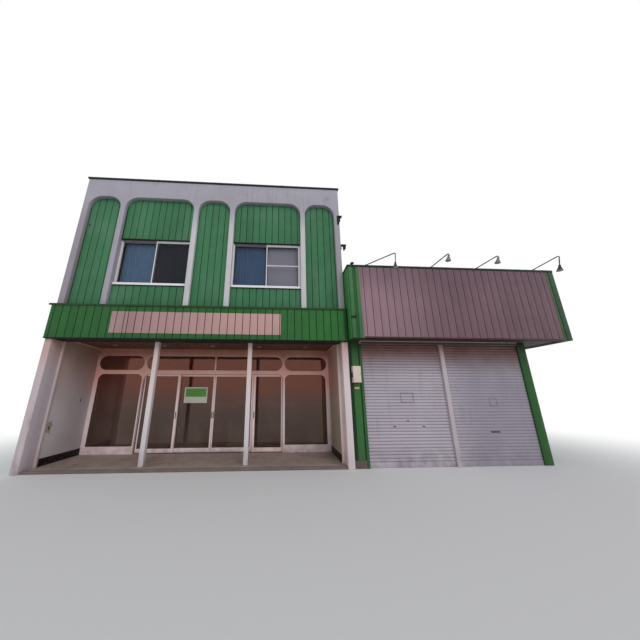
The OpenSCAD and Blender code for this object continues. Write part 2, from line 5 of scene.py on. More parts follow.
import json
import logging
import math
from dataclasses import dataclass
from enum import Enum
from functools import cache, reduce
from typing import Iterable, Sequence

import bmesh
import bpy
from mathutils import Matrix, Vector

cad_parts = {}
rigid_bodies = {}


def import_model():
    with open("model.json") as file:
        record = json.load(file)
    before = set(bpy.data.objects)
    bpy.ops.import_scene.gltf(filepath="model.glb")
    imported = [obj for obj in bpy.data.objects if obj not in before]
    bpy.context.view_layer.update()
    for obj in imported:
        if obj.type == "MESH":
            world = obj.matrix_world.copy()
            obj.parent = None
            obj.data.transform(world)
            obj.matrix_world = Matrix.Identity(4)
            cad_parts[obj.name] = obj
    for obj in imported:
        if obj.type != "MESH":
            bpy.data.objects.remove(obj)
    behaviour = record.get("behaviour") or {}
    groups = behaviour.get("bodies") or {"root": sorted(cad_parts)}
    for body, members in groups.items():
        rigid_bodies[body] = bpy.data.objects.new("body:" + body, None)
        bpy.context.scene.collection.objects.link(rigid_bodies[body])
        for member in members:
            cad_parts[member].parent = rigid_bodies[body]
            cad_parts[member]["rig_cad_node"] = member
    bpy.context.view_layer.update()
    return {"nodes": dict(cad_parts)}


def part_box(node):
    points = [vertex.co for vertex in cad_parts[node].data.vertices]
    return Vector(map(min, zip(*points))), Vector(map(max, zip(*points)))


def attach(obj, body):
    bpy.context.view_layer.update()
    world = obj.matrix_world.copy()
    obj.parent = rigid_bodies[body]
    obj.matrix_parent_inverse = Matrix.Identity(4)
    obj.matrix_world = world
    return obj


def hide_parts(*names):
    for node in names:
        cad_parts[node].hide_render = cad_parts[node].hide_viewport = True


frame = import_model()

LOG = logging.getLogger("corner_shop")

Rgb = tuple[float, float, float]
Point = tuple[float, float]
Row = Sequence[float]
Span = tuple[Row, Row]
Socket = bpy.types.NodeSocket
Piece = bpy.types.Object

X, Y, Z = range(3)
WHITE = (1.0, 1.0, 1.0, 1.0)
SHARP_ANGLE = 32.0
EASE_ANGLE = 34.0
FLAT_ANGLE = 0.4
SAME_PLACE = 1e-5
CORNER_STEPS = 12


def linear(colour: Row) -> tuple[float, float, float, float]:
    """Turns a colour as it looks on a screen into the renderer's linear values with a full alpha."""
    r, g, b = (c / 12.92 if c <= 0.04045 else ((c + 0.055) / 1.055) ** 2.4 for c in colour)
    return (r, g, b, 1.0)


class Side(Enum):
    """The four sides that a field of boards can face."""

    FRONT = 0.0
    RIGHT = 90.0
    REAR = 180.0
    LEFT = 270.0


class Nodes:
    """A node tree and the short calls that fill it."""

    def __init__(self, tree: bpy.types.NodeTree) -> None:
        """Keeps the tree."""
        self.tree = tree

    def put(self, socket: Socket, value: object) -> None:
        """Links a value that comes from a node, or sets a plain one.

        Args:
            socket: the socket to fill.
            value: another node's socket, a number or a colour.
        """
        if isinstance(value, Socket):
            self.tree.links.new(value, socket)
        else:
            socket.default_value = value

    def node(self, kind: str, links: dict[str | int, object], **settings: object) -> bpy.types.NodeOutputs:
        """Adds a node.

        Args:
            kind: the node's type.
            links: its inputs by name or number, as sockets or plain values.
            **settings: the node's own settings.

        Returns:
            The node's outputs.
        """
        node = self.tree.nodes.new(kind)
        for key, value in settings.items():
            setattr(node, key, value)
        for key, value in links.items():
            self.put(node.inputs[key], value)
        return node.outputs

    def math(self, operation: str, a: object, b: object = 0.0, clamp: bool = False) -> Socket:
        """Adds one sum and can keep its answer between 0 and 1."""
        return self.node("ShaderNodeMath", {0: a, 1: b}, operation=operation, use_clamp=clamp)[0]

    def times(self, a: object, b: object) -> Socket:
        """Multiplies two values."""
        return self.math("MULTIPLY", a, b)

    def blend(self, share: object, a: object, b: object) -> Socket:
        """Mixes two shaders, the second one by its share."""
        return self.node("ShaderNodeMixShader", {0: share, 1: a, 2: b})[0]


class Graph(Nodes):
    """A material's nodes, with the patterns that the finishes share."""

    def __init__(self, name: str) -> None:
        """Starts a material with one surface shader.

        Args:
            name: the material's name.
        """
        self.material = bpy.data.materials.new(name)
        self.material.use_nodes = True
        super().__init__(self.material.node_tree)
        self.tree.nodes.clear()
        self.output = self.tree.nodes.new("ShaderNodeOutputMaterial").inputs["Surface"]
        self.surface = self.tree.nodes.new("ShaderNodeBsdfPrincipled")
        self.put(self.output, self.surface.outputs[0])
        self.place = self.node("ShaderNodeTexCoord", {})["Object"]

    def noise(self, scale: float, detail: float = 3.0, stretch: Row = (1, 1, 1),
            rough: float = 0.55, warp: float = 0.0) -> Socket:
        """Adds soft random values: spots to the metre, octaves, and how much closer they lie along each axis."""
        spot = self.node("ShaderNodeMapping", {"Scale": stretch, "Vector": self.place})[0]
        return self.node("ShaderNodeTexNoise", {"Vector": spot, "Scale": scale, "Detail": detail,
            "Roughness": rough, "Distortion": warp})["Fac"]

    def fade(self, value: object, low: float, high: float, least: float = 0.0, most: float = 1.0) -> Socket:
        """Turns a value into a mask that rises from low to high.

        Args:
            value: the value's socket.
            low: value where the mask starts.
            high: value where the mask is full.
            least: the mask's lowest value.
            most: the mask's highest value.

        Returns:
            The mask's socket.
        """
        if low > high:
            low, high, least, most = high, low, most, least
        return self.node("ShaderNodeMapRange", {"Value": value, "From Min": low, "From Max": high, "To Min": least,
            "To Max": most}, interpolation_type="SMOOTHSTEP")["Result"]

    def cloud(self, scale: float, detail: float, low: float, high: float, least: float = 0.0, most: float = 1.0,
            **kind: object) -> Socket:
        """Cuts a noise to soft patches; its kind may hold stretch, rough and warp."""
        return self.fade(self.noise(scale, detail, **kind), low, high, least, most)

    def cracks(self, scale: float, detail: float, warp: float, width: float) -> Socket:
        """Adds hair cracks, which lie where a noise passes its middle value."""
        away = self.math("SUBTRACT", self.noise(scale, detail, rough=0.6, warp=warp), 0.5)
        return self.fade(self.math("ABSOLUTE", away), width, 0.0)

    def spots(self, scale: float, size: float) -> Socket:
        """Adds small round spots, so many to the metre, their radius a share of their distance."""
        near = self.node("ShaderNodeTexVoronoi", {"Vector": self.place, "Scale": scale})["Distance"]
        return self.fade(near, size, size * 0.6)

    def axis(self, index: int) -> Socket:
        """Gives one coordinate of the place on the building."""
        return self.node("ShaderNodeSeparateXYZ", {0: self.place})[index]

    def upward(self) -> Socket:
        """Gives how far the surface faces upwards, from -1 to 1."""
        return self.node("ShaderNodeSeparateXYZ", {0: self.node("ShaderNodeNewGeometry", {})["Normal"]})[Z]

    def tone(self) -> Socket:
        """Gives a board's own tone from -1 to 1, which is stored on its mesh, and 0 where none is stored."""
        return self.node("ShaderNodeAttribute", {}, attribute_name="tone")["Fac"]

    def inside(self, block: Span) -> Socket:
        """Gives 1 within the block of space between two corners and 0 outside it."""
        tests = [self.math(operation, self.axis(axis), corner[axis]) for axis in (X, Y, Z)
            for operation, corner in zip(("GREATER_THAN", "LESS_THAN"), block)]
        return reduce(self.times, tests)

    def film(self, share: object, colour: object, over: Rgb) -> Socket:
        """Covers a share of a colour with another one."""
        links = {0: share, 6: colour, 7: linear(over)}
        return self.node("ShaderNodeMix", links, data_type="RGBA", blend_type="MIX", clamp_factor=True)[2]

    def shade(self, colour: Rgb, value: object) -> Socket:
        """Makes a colour lighter or darker by a factor."""
        return self.node("ShaderNodeHueSaturation", {"Value": value, "Color": linear(colour)})[0]

    def bump(self, height: object, distance: float, below: Socket | None = None) -> Socket:
        """Adds relief, with the real height of a full value in metres; it may stand on an earlier one."""
        links = {"Distance": distance, "Height": height} | ({"Normal": below} if below else {})
        return self.node("ShaderNodeBump", links)[0]

    def cut(self, mask: object, depth: float, below: Socket | None = None) -> Socket:
        """Sinks the surface where a mask is full."""
        return self.bump(self.math("SUBTRACT", 1.0, mask), depth, below)

    def fill(self, **values: object) -> None:
        """Fills the surface shader, its inputs named with _ for a space."""
        for key, value in values.items():
            self.put(self.surface.inputs[key.replace("_", " ")], value)

    def drawn(self, finish: Finish) -> bpy.types.Material:
        """Draws a finish and gives the material."""
        finish.weather(self)
        return self.material


@dataclass(frozen=True)
class Veil:
    """A film of another colour that grows along one axis, such as painted shade under an eave and a stain along an
    edge.
    """

    axis: int
    start: float
    end: float
    colour: Rgb
    most: float
    within: Span | None = None

    def over(self, g: Graph, colour: Socket) -> Socket:
        """Lays the film over a colour, a little uneven."""
        masks = [g.fade(g.axis(self.axis), self.start, self.end, 0.0, self.most), g.cloud(2.0, 4.0, 0.2, 0.6, 0.8, 1.0)]
        return g.film(reduce(g.times, masks + ([g.inside(self.within)] if self.within else [])), colour, self.colour)


def patch(low: Row, high: Row, colour: Rgb, most: float = 1.0) -> Veil:
    """Gives the block between two corners another colour; its mask is full at any height of the building."""
    return Veil(Z, -9.0, -8.0, colour, most, (low, high))


def sash_shade_and_reflection() -> tuple[Veil, ...]:
    """Paints shade and reflection on the front windows: a bluish dark on the rear sashes as painted shade and sky
    reflection, a dark strip by their left jambs and a darker head as painted shade, and a whiter sill band.

    Returns:
        The films.
    """
    sill = 4.345
    films = [patch((-9, -1, 4.2), (9, 9, sill), (1.0, 0.985, 1.0), 0.9)]
    for x0, x1 in ((-2.353, -1.49), (0.597, 1.46)):
        # Painted shade and sky reflection on the rear sash, painted shade by its jamb and under the head.
        films += [patch((x0, -1, sill), (x1, 1, 9), (0.30, 0.37, 0.45)),
            patch((x0, -1, sill), (x0 + 0.027, 1, 9), (0.13, 0.12, 0.16)),
            patch((x0 - 0.03, -1, 5.562), (x1, 1, 9), (0.53, 0.48, 0.50))]
    return tuple(films)


@dataclass(frozen=True)
class Finish:
    """A finish with a name, a plain colour and the films over it; its kinds say how it weathers."""

    name: str
    colour: Rgb
    veils: tuple[Veil, ...] = ()

    def build(self) -> bpy.types.Material:
        """Makes the material, or gives the one made before."""
        return bpy.data.materials.get(self.name) or Graph(self.name).drawn(self)

    def weather(self, g: Graph) -> None:
        """Draws the finish, here as a plain colour."""
        g.fill(Base_Color=linear(self.colour), Roughness=0.5)

    def veiled(self, g: Graph, colour: Socket) -> Socket:
        """Lays the finish's films over a colour."""
        return reduce(lambda below, veil: veil.over(g, below), self.veils, colour)


@dataclass(frozen=True)
class Paint(Finish):
    """Paint on sheet metal, siding boards or mortar, faded and streaked by rain."""

    dirt: Rgb = (0.30, 0.28, 0.26)
    faded: Rgb = (0.60, 0.60, 0.58)
    fading: float = 0.25
    streaks: float = 0.35
    splash: float = 0.5
    tone_range: float = 0.08
    chips: float = 0.0
    chip_colour: Rgb = (0.36, 0.20, 0.12)
    rough: float = 0.45
    grain: float = 0.0002
    wave: float = 0.002
    metallic: float = 0.0
    joint_pitch: float = 0.0
    joint_start: float = 0.0

    def joints(self, g: Graph, colour: Socket) -> Socket:
        """Darkens each slat's joint as grime, and the lower part of its bow as painted shade.

        Args:
            g: the material.
            colour: the colour below.

        Returns:
            The colour's socket.
        """
        step = g.math("DIVIDE", g.math("SUBTRACT", g.axis(Z), self.joint_start), self.joint_pitch)
        step = g.math("FRACT", step)
        # Grime in the joint, and painted shade on the lower part of the bow, which faces down.
        line = g.math("ADD", g.fade(step, 0.34, 0.10), g.fade(step, 0.90, 1.0, 0.0, 0.7), clamp=True)
        above = g.math("GREATER_THAN", g.axis(Z), self.joint_start)
        return g.film(g.times(g.times(line, above), 0.5), colour, self.dirt)

    def weather(self, g: Graph) -> None:
        """Draws faded, streaked and chipped paint.

        Args:
            g: the material to fill.
        """
        spread = g.times(g.tone(), self.tone_range)
        colour = g.shade(self.colour, g.math("ADD", spread, g.cloud(0.7, 4.0, 0.3, 0.7, 0.94, 1.05)))
        chalk = g.times(g.cloud(1.6, 5.0, 0.42, 0.72, stretch=(1, 1, 0.5)), self.fading)
        colour = g.film(chalk, colour, self.faded)
        specks = g.cloud(42.0, 4.0, 0.55, 0.75, 0.0, 0.18, stretch=(1, 1, 0.6))
        run = g.cloud(9.0, 5.0, 0.5, 0.78, stretch=(1, 1, 0.06), rough=0.6)
        run = g.times(g.times(run, g.cloud(1.1, 3.0, 0.35, 0.7)), self.streaks)
        foot = g.times(g.fade(g.axis(Z), 0.55, 0.0), g.cloud(5.0, 5.0, 0.3, 0.75))
        for mask in (specks, run, g.times(foot, self.splash)):
            colour = g.film(mask, colour, self.dirt)
        if self.joint_pitch > 0:
            colour = self.joints(g, colour)
        colour = self.veiled(g, colour)
        rough = g.cloud(6.0, 4.0, 0.3, 0.7, self.rough - 0.08, self.rough + 0.12)
        normal = g.bump(g.noise(320.0, 2.0), self.grain, g.bump(g.noise(1.4, 2.0), self.wave))
        if self.chips > 0:
            more = self.chips * 0.25
            flakes = g.cloud(14.0, 6.0, 0.74 - more, 0.76 - more, rough=0.65)
            colour = g.film(flakes, colour, self.chip_colour)
            rough = g.math("ADD", rough, g.times(flakes, 0.3), clamp=True)
            normal = g.cut(flakes, 0.0004, normal)
        g.fill(Base_Color=colour, Roughness=rough, Normal=normal, Metallic=self.metallic)


@dataclass(frozen=True)
class Mortar(Finish):
    """Painted mortar with a sanded face, hair cracks, grey runs under its edges and painted shade on the faces that
    look down.
    """

    dirt: Rgb = (0.42, 0.39, 0.38)
    crack: Rgb = (0.35, 0.32, 0.31)
    grime: float = 0.45
    grain: float = 0.0012

    def weather(self, g: Graph) -> None:
        """Draws painted mortar.

        Args:
            g: the material to fill.
        """
        colour = g.shade(self.colour, g.cloud(0.9, 5.0, 0.3, 0.7, 0.93, 1.04))
        run = g.cloud(11.0, 6.0, 0.48, 0.8, stretch=(1, 1, 0.07), rough=0.62)
        run = g.times(run, g.cloud(0.8, 3.0, 0.35, 0.65))
        cracks = g.times(g.cracks(2.2, 8.0, 0.4, 0.0022), g.cloud(0.9, 2.0, 0.5, 0.62))
        foot = g.times(g.fade(g.axis(Z), 0.5, 0.0), g.cloud(6.0, 5.0, 0.3, 0.7))
        # Runs, blotches, cracks and the foot's splash are grime; the faces that look down take the same colour as
        # painted shade.
        for mask, over in ((g.times(run, self.grime), self.dirt), (g.cloud(2.6, 6.0, 0.55, 0.8, 0.0, 0.35), self.dirt),
                (g.times(g.fade(g.upward(), -0.2, -0.9), 0.45), self.dirt),
                (g.times(cracks, 0.55), self.crack), (g.times(foot, 0.55), self.dirt)):
            colour = g.film(mask, colour, over)
        colour = self.veiled(g, colour)
        normal = g.bump(g.noise(7.0, 4.0), 0.003, g.bump(g.noise(170.0, 4.0), self.grain))
        g.fill(Base_Color=colour, Roughness=g.cloud(8.0, 3.0, 0.3, 0.7, 0.72, 0.9), Normal=normal)


@dataclass(frozen=True)
class Concrete(Finish):
    """Worn concrete with darker damp patches, fine stones and hair cracks."""

    damp: Rgb = (0.33, 0.31, 0.29)
    stones: Rgb = (0.66, 0.64, 0.60)
    crack: Rgb = (0.16, 0.15, 0.14)

    def weather(self, g: Graph) -> None:
        """Draws worn concrete.

        Args:
            g: the material to fill.
        """
        colour = g.shade(self.colour, g.cloud(3.0, 8.0, 0.3, 0.7, 0.85, 1.1, rough=0.65))
        colour = g.film(g.cloud(0.9, 6.0, 0.5, 0.75, 0.0, 0.7, rough=0.6), colour, self.damp)
        colour = g.film(g.times(g.spots(70.0, 0.24), 0.35), colour, self.stones)
        cracks = g.cracks(1.3, 9.0, 0.5, 0.003)
        colour = self.veiled(g, g.film(g.times(cracks, 0.7), colour, self.crack))
        normal = g.cut(cracks, 0.002, g.bump(g.noise(90.0, 6.0), 0.0016))
        g.fill(Base_Color=colour, Roughness=g.cloud(4.0, 4.0, 0.3, 0.7, 0.75, 0.95), Normal=normal)


@dataclass(frozen=True)
class Panel(Finish):
    """Painted or papered board with soft stains, for linings, ceilings and rooms; its paint may peel low down."""

    stain: Rgb = (0.45, 0.40, 0.35)
    staining: float = 0.3
    rough: float = 0.65
    low_peel: float = 0.0
    low_peel_top: float = 1.1
    peeled: Rgb = (0.70, 0.66, 0.56)

    def weather(self, g: Graph) -> None:
        """Draws a stained board.

        Args:
            g: the material to fill.
        """
        tone = g.math("ADD", g.times(g.tone(), 0.07), g.cloud(1.1, 4.0, 0.3, 0.7, 0.95, 1.04))
        colour = g.shade(self.colour, tone)
        broad = g.times(g.cloud(2.4, 6.0, 0.5, 0.78, stretch=(1, 1, 0.5)), self.staining)
        small = g.cloud(18.0, 4.0, 0.56, 0.75, 0.0, self.staining * 0.5, stretch=(1, 1, 0.2))
        colour = self.veiled(g, g.film(small, g.film(broad, colour, self.stain), self.stain))
        normal = g.bump(g.noise(150.0, 3.0), 0.0003)
        if self.low_peel > 0:
            edge = g.math("ADD", g.axis(Z), g.times(g.noise(5.0, 6.0), 1.1))
            peel = g.times(g.fade(edge, self.low_peel_top + 0.56, self.low_peel_top + 0.52), self.low_peel)
            peel = g.times(peel, g.cloud(9.0, 6.0, 0.38, 0.42, rough=0.65))
            colour = g.film(peel, colour, self.peeled)
            normal = g.cut(peel, 0.0015, normal)
        rough = g.cloud(7.0, 3.0, 0.3, 0.7, self.rough - 0.08, self.rough + 0.1)
        g.fill(Base_Color=colour, Roughness=rough, Normal=normal)


@dataclass(frozen=True)
class Wall(Finish):
    """A wall's own faces: dark sealed backing outside, plain board on the room's side."""

    within: Rgb = (0.60, 0.52, 0.46)
    room: Span = ((-3.32, 0.27, 0.0), (3.32, 7.82, 6.93))

    def weather(self, g: Graph) -> None:
        """Draws the wall with a mask that picks the room's faces.

        Args:
            g: the material to fill.
        """
        outer = g.shade(self.colour, g.cloud(3.0, 5.0, 0.3, 0.7, 0.8, 1.1))
        inner = g.shade(self.within, g.cloud(2.0, 5.0, 0.3, 0.7, 0.88, 1.05, stretch=(1, 1, 0.4)))
        links = {0: g.inside(self.room), 6: outer, 7: inner}
        colour = g.node("ShaderNodeMix", links, data_type="RGBA", clamp_factor=True)[2]
        g.fill(Base_Color=colour, Roughness=0.7, Normal=g.bump(g.noise(120.0, 3.0), 0.0004))


@dataclass(frozen=True)
class Pane(Finish):
    """A sheet of window glass, tinted, with a thin film of dust; its mirror carries a painted reflection tint, which
    may grow warmer and stronger higher up.
    """

    sheen: Rgb = (1.0, 1.0, 1.0)
    warm: Rgb | None = None
    warm_gloss: float = 1.0
    clear: float = 0.55
    dust: float = 0.10
    gloss: float = 1.0
    haze: Rgb = (0.62, 0.56, 0.52)
    refraction: float = 1.52

    def weather(self, g: Graph) -> None:
        """Draws the pane as a clear tint, a mirror coloured as a painted reflection, and dust.

        Args:
            g: the material to fill.
        """
        tint = g.node("ShaderNodeBsdfTransparent", {"Color": linear(self.colour)})[0]
        solid = g.node("ShaderNodeBsdfDiffuse", {"Color": linear([c * 0.45 for c in self.colour])})[0]
        reflection_colour: object = linear(self.sheen)
        strength: object = self.gloss
        if self.warm is not None:
            reflection_colour = g.film(g.fade(g.axis(Z), 0.9, 2.0), reflection_colour, self.warm)
            strength = g.times(g.fade(g.axis(Z), 0.9, 2.0, 1.0, self.warm_gloss), self.gloss)
        mirror = g.node("ShaderNodeBsdfGlossy", {"Color": reflection_colour, "Roughness": 0.03,
            "Normal": g.bump(g.noise(0.9, 2.0), 0.004)})[0]
        edge = g.times(g.node("ShaderNodeFresnel", {"IOR": self.refraction})[0], strength)
        outer = g.math("SUBTRACT", 1.0, g.node("ShaderNodeNewGeometry", {})["Backfacing"])
        body = g.blend(1.0 - self.clear, tint, solid)
        body = g.blend(g.math("MULTIPLY", edge, outer, clamp=True), body, mirror)
        mask = g.cloud(2.2, 6.0, 0.3, 0.8, stretch=(1, 1, 0.5), rough=0.6)
        mask = g.times(mask, g.fade(g.axis(Z), 1.2, 0.1, 0.6, 1.6))
        dust = g.node("ShaderNodeBsdfDiffuse", {"Color": linear(self.haze)})[0]
        g.put(g.output, g.blend(g.math("MULTIPLY", mask, self.dust, clamp=True), body, dust))


@dataclass(frozen=True)
class Tile(Finish):
    """Glazed tile with a slightly uneven face and pale flecks."""

    flecks: Rgb = (0.42, 0.37, 0.39)
    mirror: float = 0.22

    def weather(self, g: Graph) -> None:
        """Draws glazed tile.

        Args:
            g: the material to fill.
        """
        colour = g.shade(self.colour, g.math("ADD", g.times(g.tone(), 0.25), 1.0))
        g.fill(Base_Color=g.film(g.cloud(22.0, 5.0, 0.56, 0.70, 0.0, 0.75), colour, self.flecks),
            Roughness=g.cloud(12.0, 3.0, 0.3, 0.7, 0.3, 0.55), Normal=g.bump(g.noise(25.0, 3.0), 0.0012),
            Specular_IOR_Level=self.mirror)


@dataclass(frozen=True)
class Frosted(Finish):
    """A frosted lens, dull and unlit."""

    def weather(self, g: Graph) -> None:
        """Draws a frosted lens."""
        colour = g.shade(self.colour, g.cloud(20.0, 3.0, 0.3, 0.7, 0.85, 1.0))
        g.fill(Base_Color=colour, Roughness=0.3, Transmission_Weight=0.25)


@dataclass(frozen=True)
class StudioFloor(Finish):
    """A pale floor that keeps the building's shadow and fades to the white background far from it."""

    middle: Point = (2.7, 2.0)
    near: float = 6.0
    far: float = 13.0

    def weather(self, g: Graph) -> None:
        """Draws the floor.

        Args:
            g: the material to fill.
        """
        g.fill(Base_Color=linear(self.colour), Roughness=0.9)
        squares = [g.math("POWER", g.math("SUBTRACT", g.axis(i), self.middle[i]), 2.0) for i in (X, Y)]
        away = g.fade(g.math("SQRT", g.math("ADD", *squares)), self.near, self.far)
        seen = g.node("ShaderNodeLightPath", {})["Is Camera Ray"]
        white = g.node("ShaderNodeEmission", {"Color": WHITE, "Strength": 1.0})[0]
        g.put(g.output, g.blend(g.times(away, seen), g.surface.outputs[0], white))


OLD_GREEN = {"fading": 0.2, "streaks": 0.4, "faded": (0.34, 0.53, 0.35), "chip_colour": (0.30, 0.34, 0.26)}
# Painted shade: greens darken towards the top, under the eave.
EAVE_SHADE = (Veil(Z, 1.9, 2.8, (0.14, 0.19, 0.10), 0.7),)


class Look:
    """Every finish of the building, by the surface it belongs to."""

    upper_siding = Paint("upper_siding_green", (0.25, 0.49, 0.33), fading=0.30, streaks=0.3,
        faded=(0.44, 0.61, 0.50), rough=0.6)
    # Painted light: the canopy's green turns lighter towards its right end.
    canopy_siding = Paint("canopy_siding_green", (0.15, 0.395, 0.17), fading=0.12, streaks=0.3,
        faded=(0.31, 0.50, 0.31), rough=0.6, veils=(Veil(X, 1.2, 2.4, (0.20, 0.47, 0.205), 0.7),))
    # Painted sheen: the pink turns lighter towards its right end.
    pink_siding = Paint("sign_panel_pink", (0.70, 0.555, 0.555), dirt=(0.42, 0.33, 0.33), fading=0.3,
        faded=(0.76, 0.66, 0.66), streaks=0.45, tone_range=0.05,
        veils=(Veil(X, -1.9, 1.2, (0.83, 0.66, 0.63), 0.8),))
    # Painted light: the mauve turns lighter towards the fascia's left end; it also turns darker towards the top.
    mauve_siding = Paint("fascia_mauve", (0.475, 0.36, 0.39), dirt=(0.30, 0.21, 0.23), fading=0.2,
        faded=(0.56, 0.45, 0.48), streaks=0.4, tone_range=0.07, chips=0.10,
        chip_colour=(0.24, 0.18, 0.18), veils=(Veil(X, 6.4, 3.7, (0.69, 0.555, 0.595), 0.8),
            Veil(Z, 3.7, 4.7, (0.44, 0.34, 0.38), 0.6)))
    annex_green = Paint("annex_green", (0.15, 0.39, 0.17), chips=0.2, **OLD_GREEN)
    # Painted sunlight brightens the corner post; painted shade darkens the posts towards the eave.
    post_green = Paint("annex_post_green", (0.10, 0.285, 0.105), chips=0.2, **OLD_GREEN,
        veils=(patch((7.9, -1, 0), (8.2, 1, 3), (0.12, 0.37, 0.10), 0.85),
            Veil(Z, 1.9, 2.8, (0.10, 0.16, 0.09), 0.7)))
    panel_green = Paint("annex_panel_green", (0.204, 0.443, 0.212), chips=0.1, **OLD_GREEN, veils=EAVE_SHADE)
    guide_green = Paint("shutter_guide_green", (0.194, 0.396, 0.205), fading=0.2, streaks=0.4,
        faded=(0.34, 0.50, 0.36), veils=EAVE_SHADE)
    # Painted shade: a dark green for the shade in gaps and grooves.
    gap_dark = Paint("gap_painted_shade_green", (0.076, 0.21, 0.08), fading=0.1, streaks=0.2, rough=0.7,
        faded=(0.15, 0.27, 0.16))
    end_side = Paint("fascia_end_side_green", (0.243, 0.557, 0.289), fading=0.2, streaks=0.5,
        faded=(0.42, 0.62, 0.47))
    # Painted highlight: the ribs on the fascia's ends take lighter greens than the ends.
    end_light = Paint("fascia_end_rib_painted_highlight", (0.217, 0.456, 0.235), fading=0.3, streaks=0.5,
        faded=(0.40, 0.56, 0.40), chips=0.15, chip_colour=(0.30, 0.34, 0.26))
    # The near-black band at the foot of the right end is painted shade.
    end_dark = Paint("fascia_end_dark_green", (0.131, 0.35, 0.149), fading=0.2, streaks=0.5,
        faded=(0.28, 0.45, 0.29), chips=0.2, chip_colour=(0.22, 0.26, 0.18),
        veils=(patch((8.88, -1, 2.8), (9.1, 6, 2.8605), (0.09, 0.08, 0.08)),))
    end_grey = Paint("fascia_end_grey_green", (0.155, 0.317, 0.183), fading=0.3, streaks=0.5,
        faded=(0.33, 0.42, 0.36))
    # Painted highlight: a lighter olive for the right rib.
    end_olive = Paint("fascia_end_olive_rib_highlight", (0.225, 0.374, 0.206), fading=0.3, streaks=0.5,
        faded=(0.42, 0.44, 0.36))
    end_pale = Paint("fascia_end_pale_trim", (0.555, 0.488, 0.481), fading=0.3, streaks=0.5,
        faded=(0.64, 0.57, 0.57))
    edge_black = Paint("eave_edge_dark_brown", (0.10, 0.09, 0.08), fading=0.2, faded=(0.18, 0.16, 0.15), rough=0.7)
    hook_dark = Paint("dark_green_fitting", (0.05, 0.12, 0.07), fading=0.1, faded=(0.16, 0.24, 0.17), rough=0.6)
    seam_dark = Paint("seam_dark_green", (0.045, 0.12, 0.06), fading=0.1, streaks=0.2, faded=(0.15, 0.24, 0.16),
        rough=0.7)
    coping = Paint("coping_dark_green", (0.06, 0.15, 0.12), fading=0.2, faded=(0.18, 0.27, 0.23), streaks=0.3,
        rough=0.55)
    flashing = Paint("flashing_dark", (0.145, 0.27, 0.135), fading=0.2, faded=(0.26, 0.35, 0.22), chips=0.2,
        rough=0.55)
    # Painted light and shade: below the arches, the piers from the middle rightwards turn lighter and both outer stiles
    # darker.
    frame_mortar = Mortar("frame_mortar", (0.72, 0.705, 0.745), veils=(
        Veil(Z, 6.75, 5.7, (0.865, 0.86, 0.865), 0.95, ((-0.6, -1, 3), (2.6, 1, 7))),
        Veil(Z, 6.9, 6.0, (0.66, 0.62, 0.66), 1.0, ((-4, -1, 3), (-3.3, 1, 7))),
        Veil(Z, 6.9, 6.0, (0.66, 0.66, 0.66), 0.8, ((3.3, -1, 3), (4, 1, 7)))))
    # Painted light and shade: painted sunlight lightens the right pilaster and its inner face, painted shade darkens
    # the left one's inner face, and warm painted shade darkens both towards the ceiling.
    pilaster_mortar = Mortar("pilaster_mortar", (0.845, 0.785, 0.80), grime=0.5, veils=(
        patch((3.0, -0.04, -1), (3.353, 1, 9), (1.0, 0.93, 0.91), 0.85),
        patch((-3.353, -0.04, -1), (-3.0, 1, 9), (0.80, 0.765, 0.80), 0.8),
        patch((3.353, -0.2, -1), (3.6, 1, 9), (0.935, 0.875, 0.885), 0.85),
        Veil(Z, 1.9, 2.8, (0.80, 0.64, 0.59), 0.8)))
    # Painted sunlight lightens the right trim; warm painted shade darkens both trims towards the ceiling.
    trim_paint = Paint("porch_trim_pinkish_white", (0.80, 0.735, 0.745), dirt=(0.46, 0.36, 0.33),
        faded=(0.86, 0.81, 0.80), streaks=0.3,
        veils=(patch((3.0, -1, -1), (3.4, 2, 9), (1.0, 0.92, 0.89), 0.9),
            Veil(Z, 1.6, 2.8, (0.84, 0.69, 0.63), 0.8)))
    # Warm painted shade darkens the posts towards the ceiling; the chips are wear.
    post_paint = Paint("porch_post_white", (0.93, 0.90, 0.91), dirt=(0.45, 0.38, 0.36), faded=(0.86, 0.84, 0.84),
        chips=0.22, veils=(Veil(Z, 1.1, 2.6, (0.88, 0.76, 0.74), 0.75),))
    window_paint = Paint("window_frame_white", (0.92, 0.89, 0.91), dirt=(0.50, 0.46, 0.46),
        faded=(0.93, 0.91, 0.92), streaks=0.2, rough=0.35, veils=sash_shade_and_reflection())
    # Painted warm light turns the frame pink higher up, and painted shade under the canopy turns its head dark brown.
    shopfront = Paint("shopfront_pinkish_white", (0.945, 0.86, 0.86), dirt=(0.52, 0.42, 0.40),
        faded=(0.95, 0.88, 0.87), streaks=0.3, rough=0.38,
        veils=(Veil(Z, 1.3, 2.15, (1.0, 0.70, 0.62), 0.8), Veil(Z, 2.35, 2.8, (0.62, 0.39, 0.31), 0.9)))
    # Painted warm light turns the leaves pink higher up.
    door_paint = Paint("door_pinkish_white", (0.98, 0.89, 0.88), dirt=(0.52, 0.42, 0.40), faded=(0.97, 0.92, 0.90),
        streaks=0.2, rough=0.34, veils=(Veil(Z, 1.3, 2.15, (1.0, 0.80, 0.73), 0.8),))
    jamb_shade = Paint("doorway_jamb_shaded", (0.66, 0.54, 0.52), dirt=(0.36, 0.25, 0.22), faded=(0.70, 0.58, 0.55))
    sill_metal = Paint("sill_metal", (0.62, 0.60, 0.58), dirt=(0.30, 0.27, 0.24), faded=(0.7, 0.69, 0.68),
        rough=0.4, metallic=0.6)
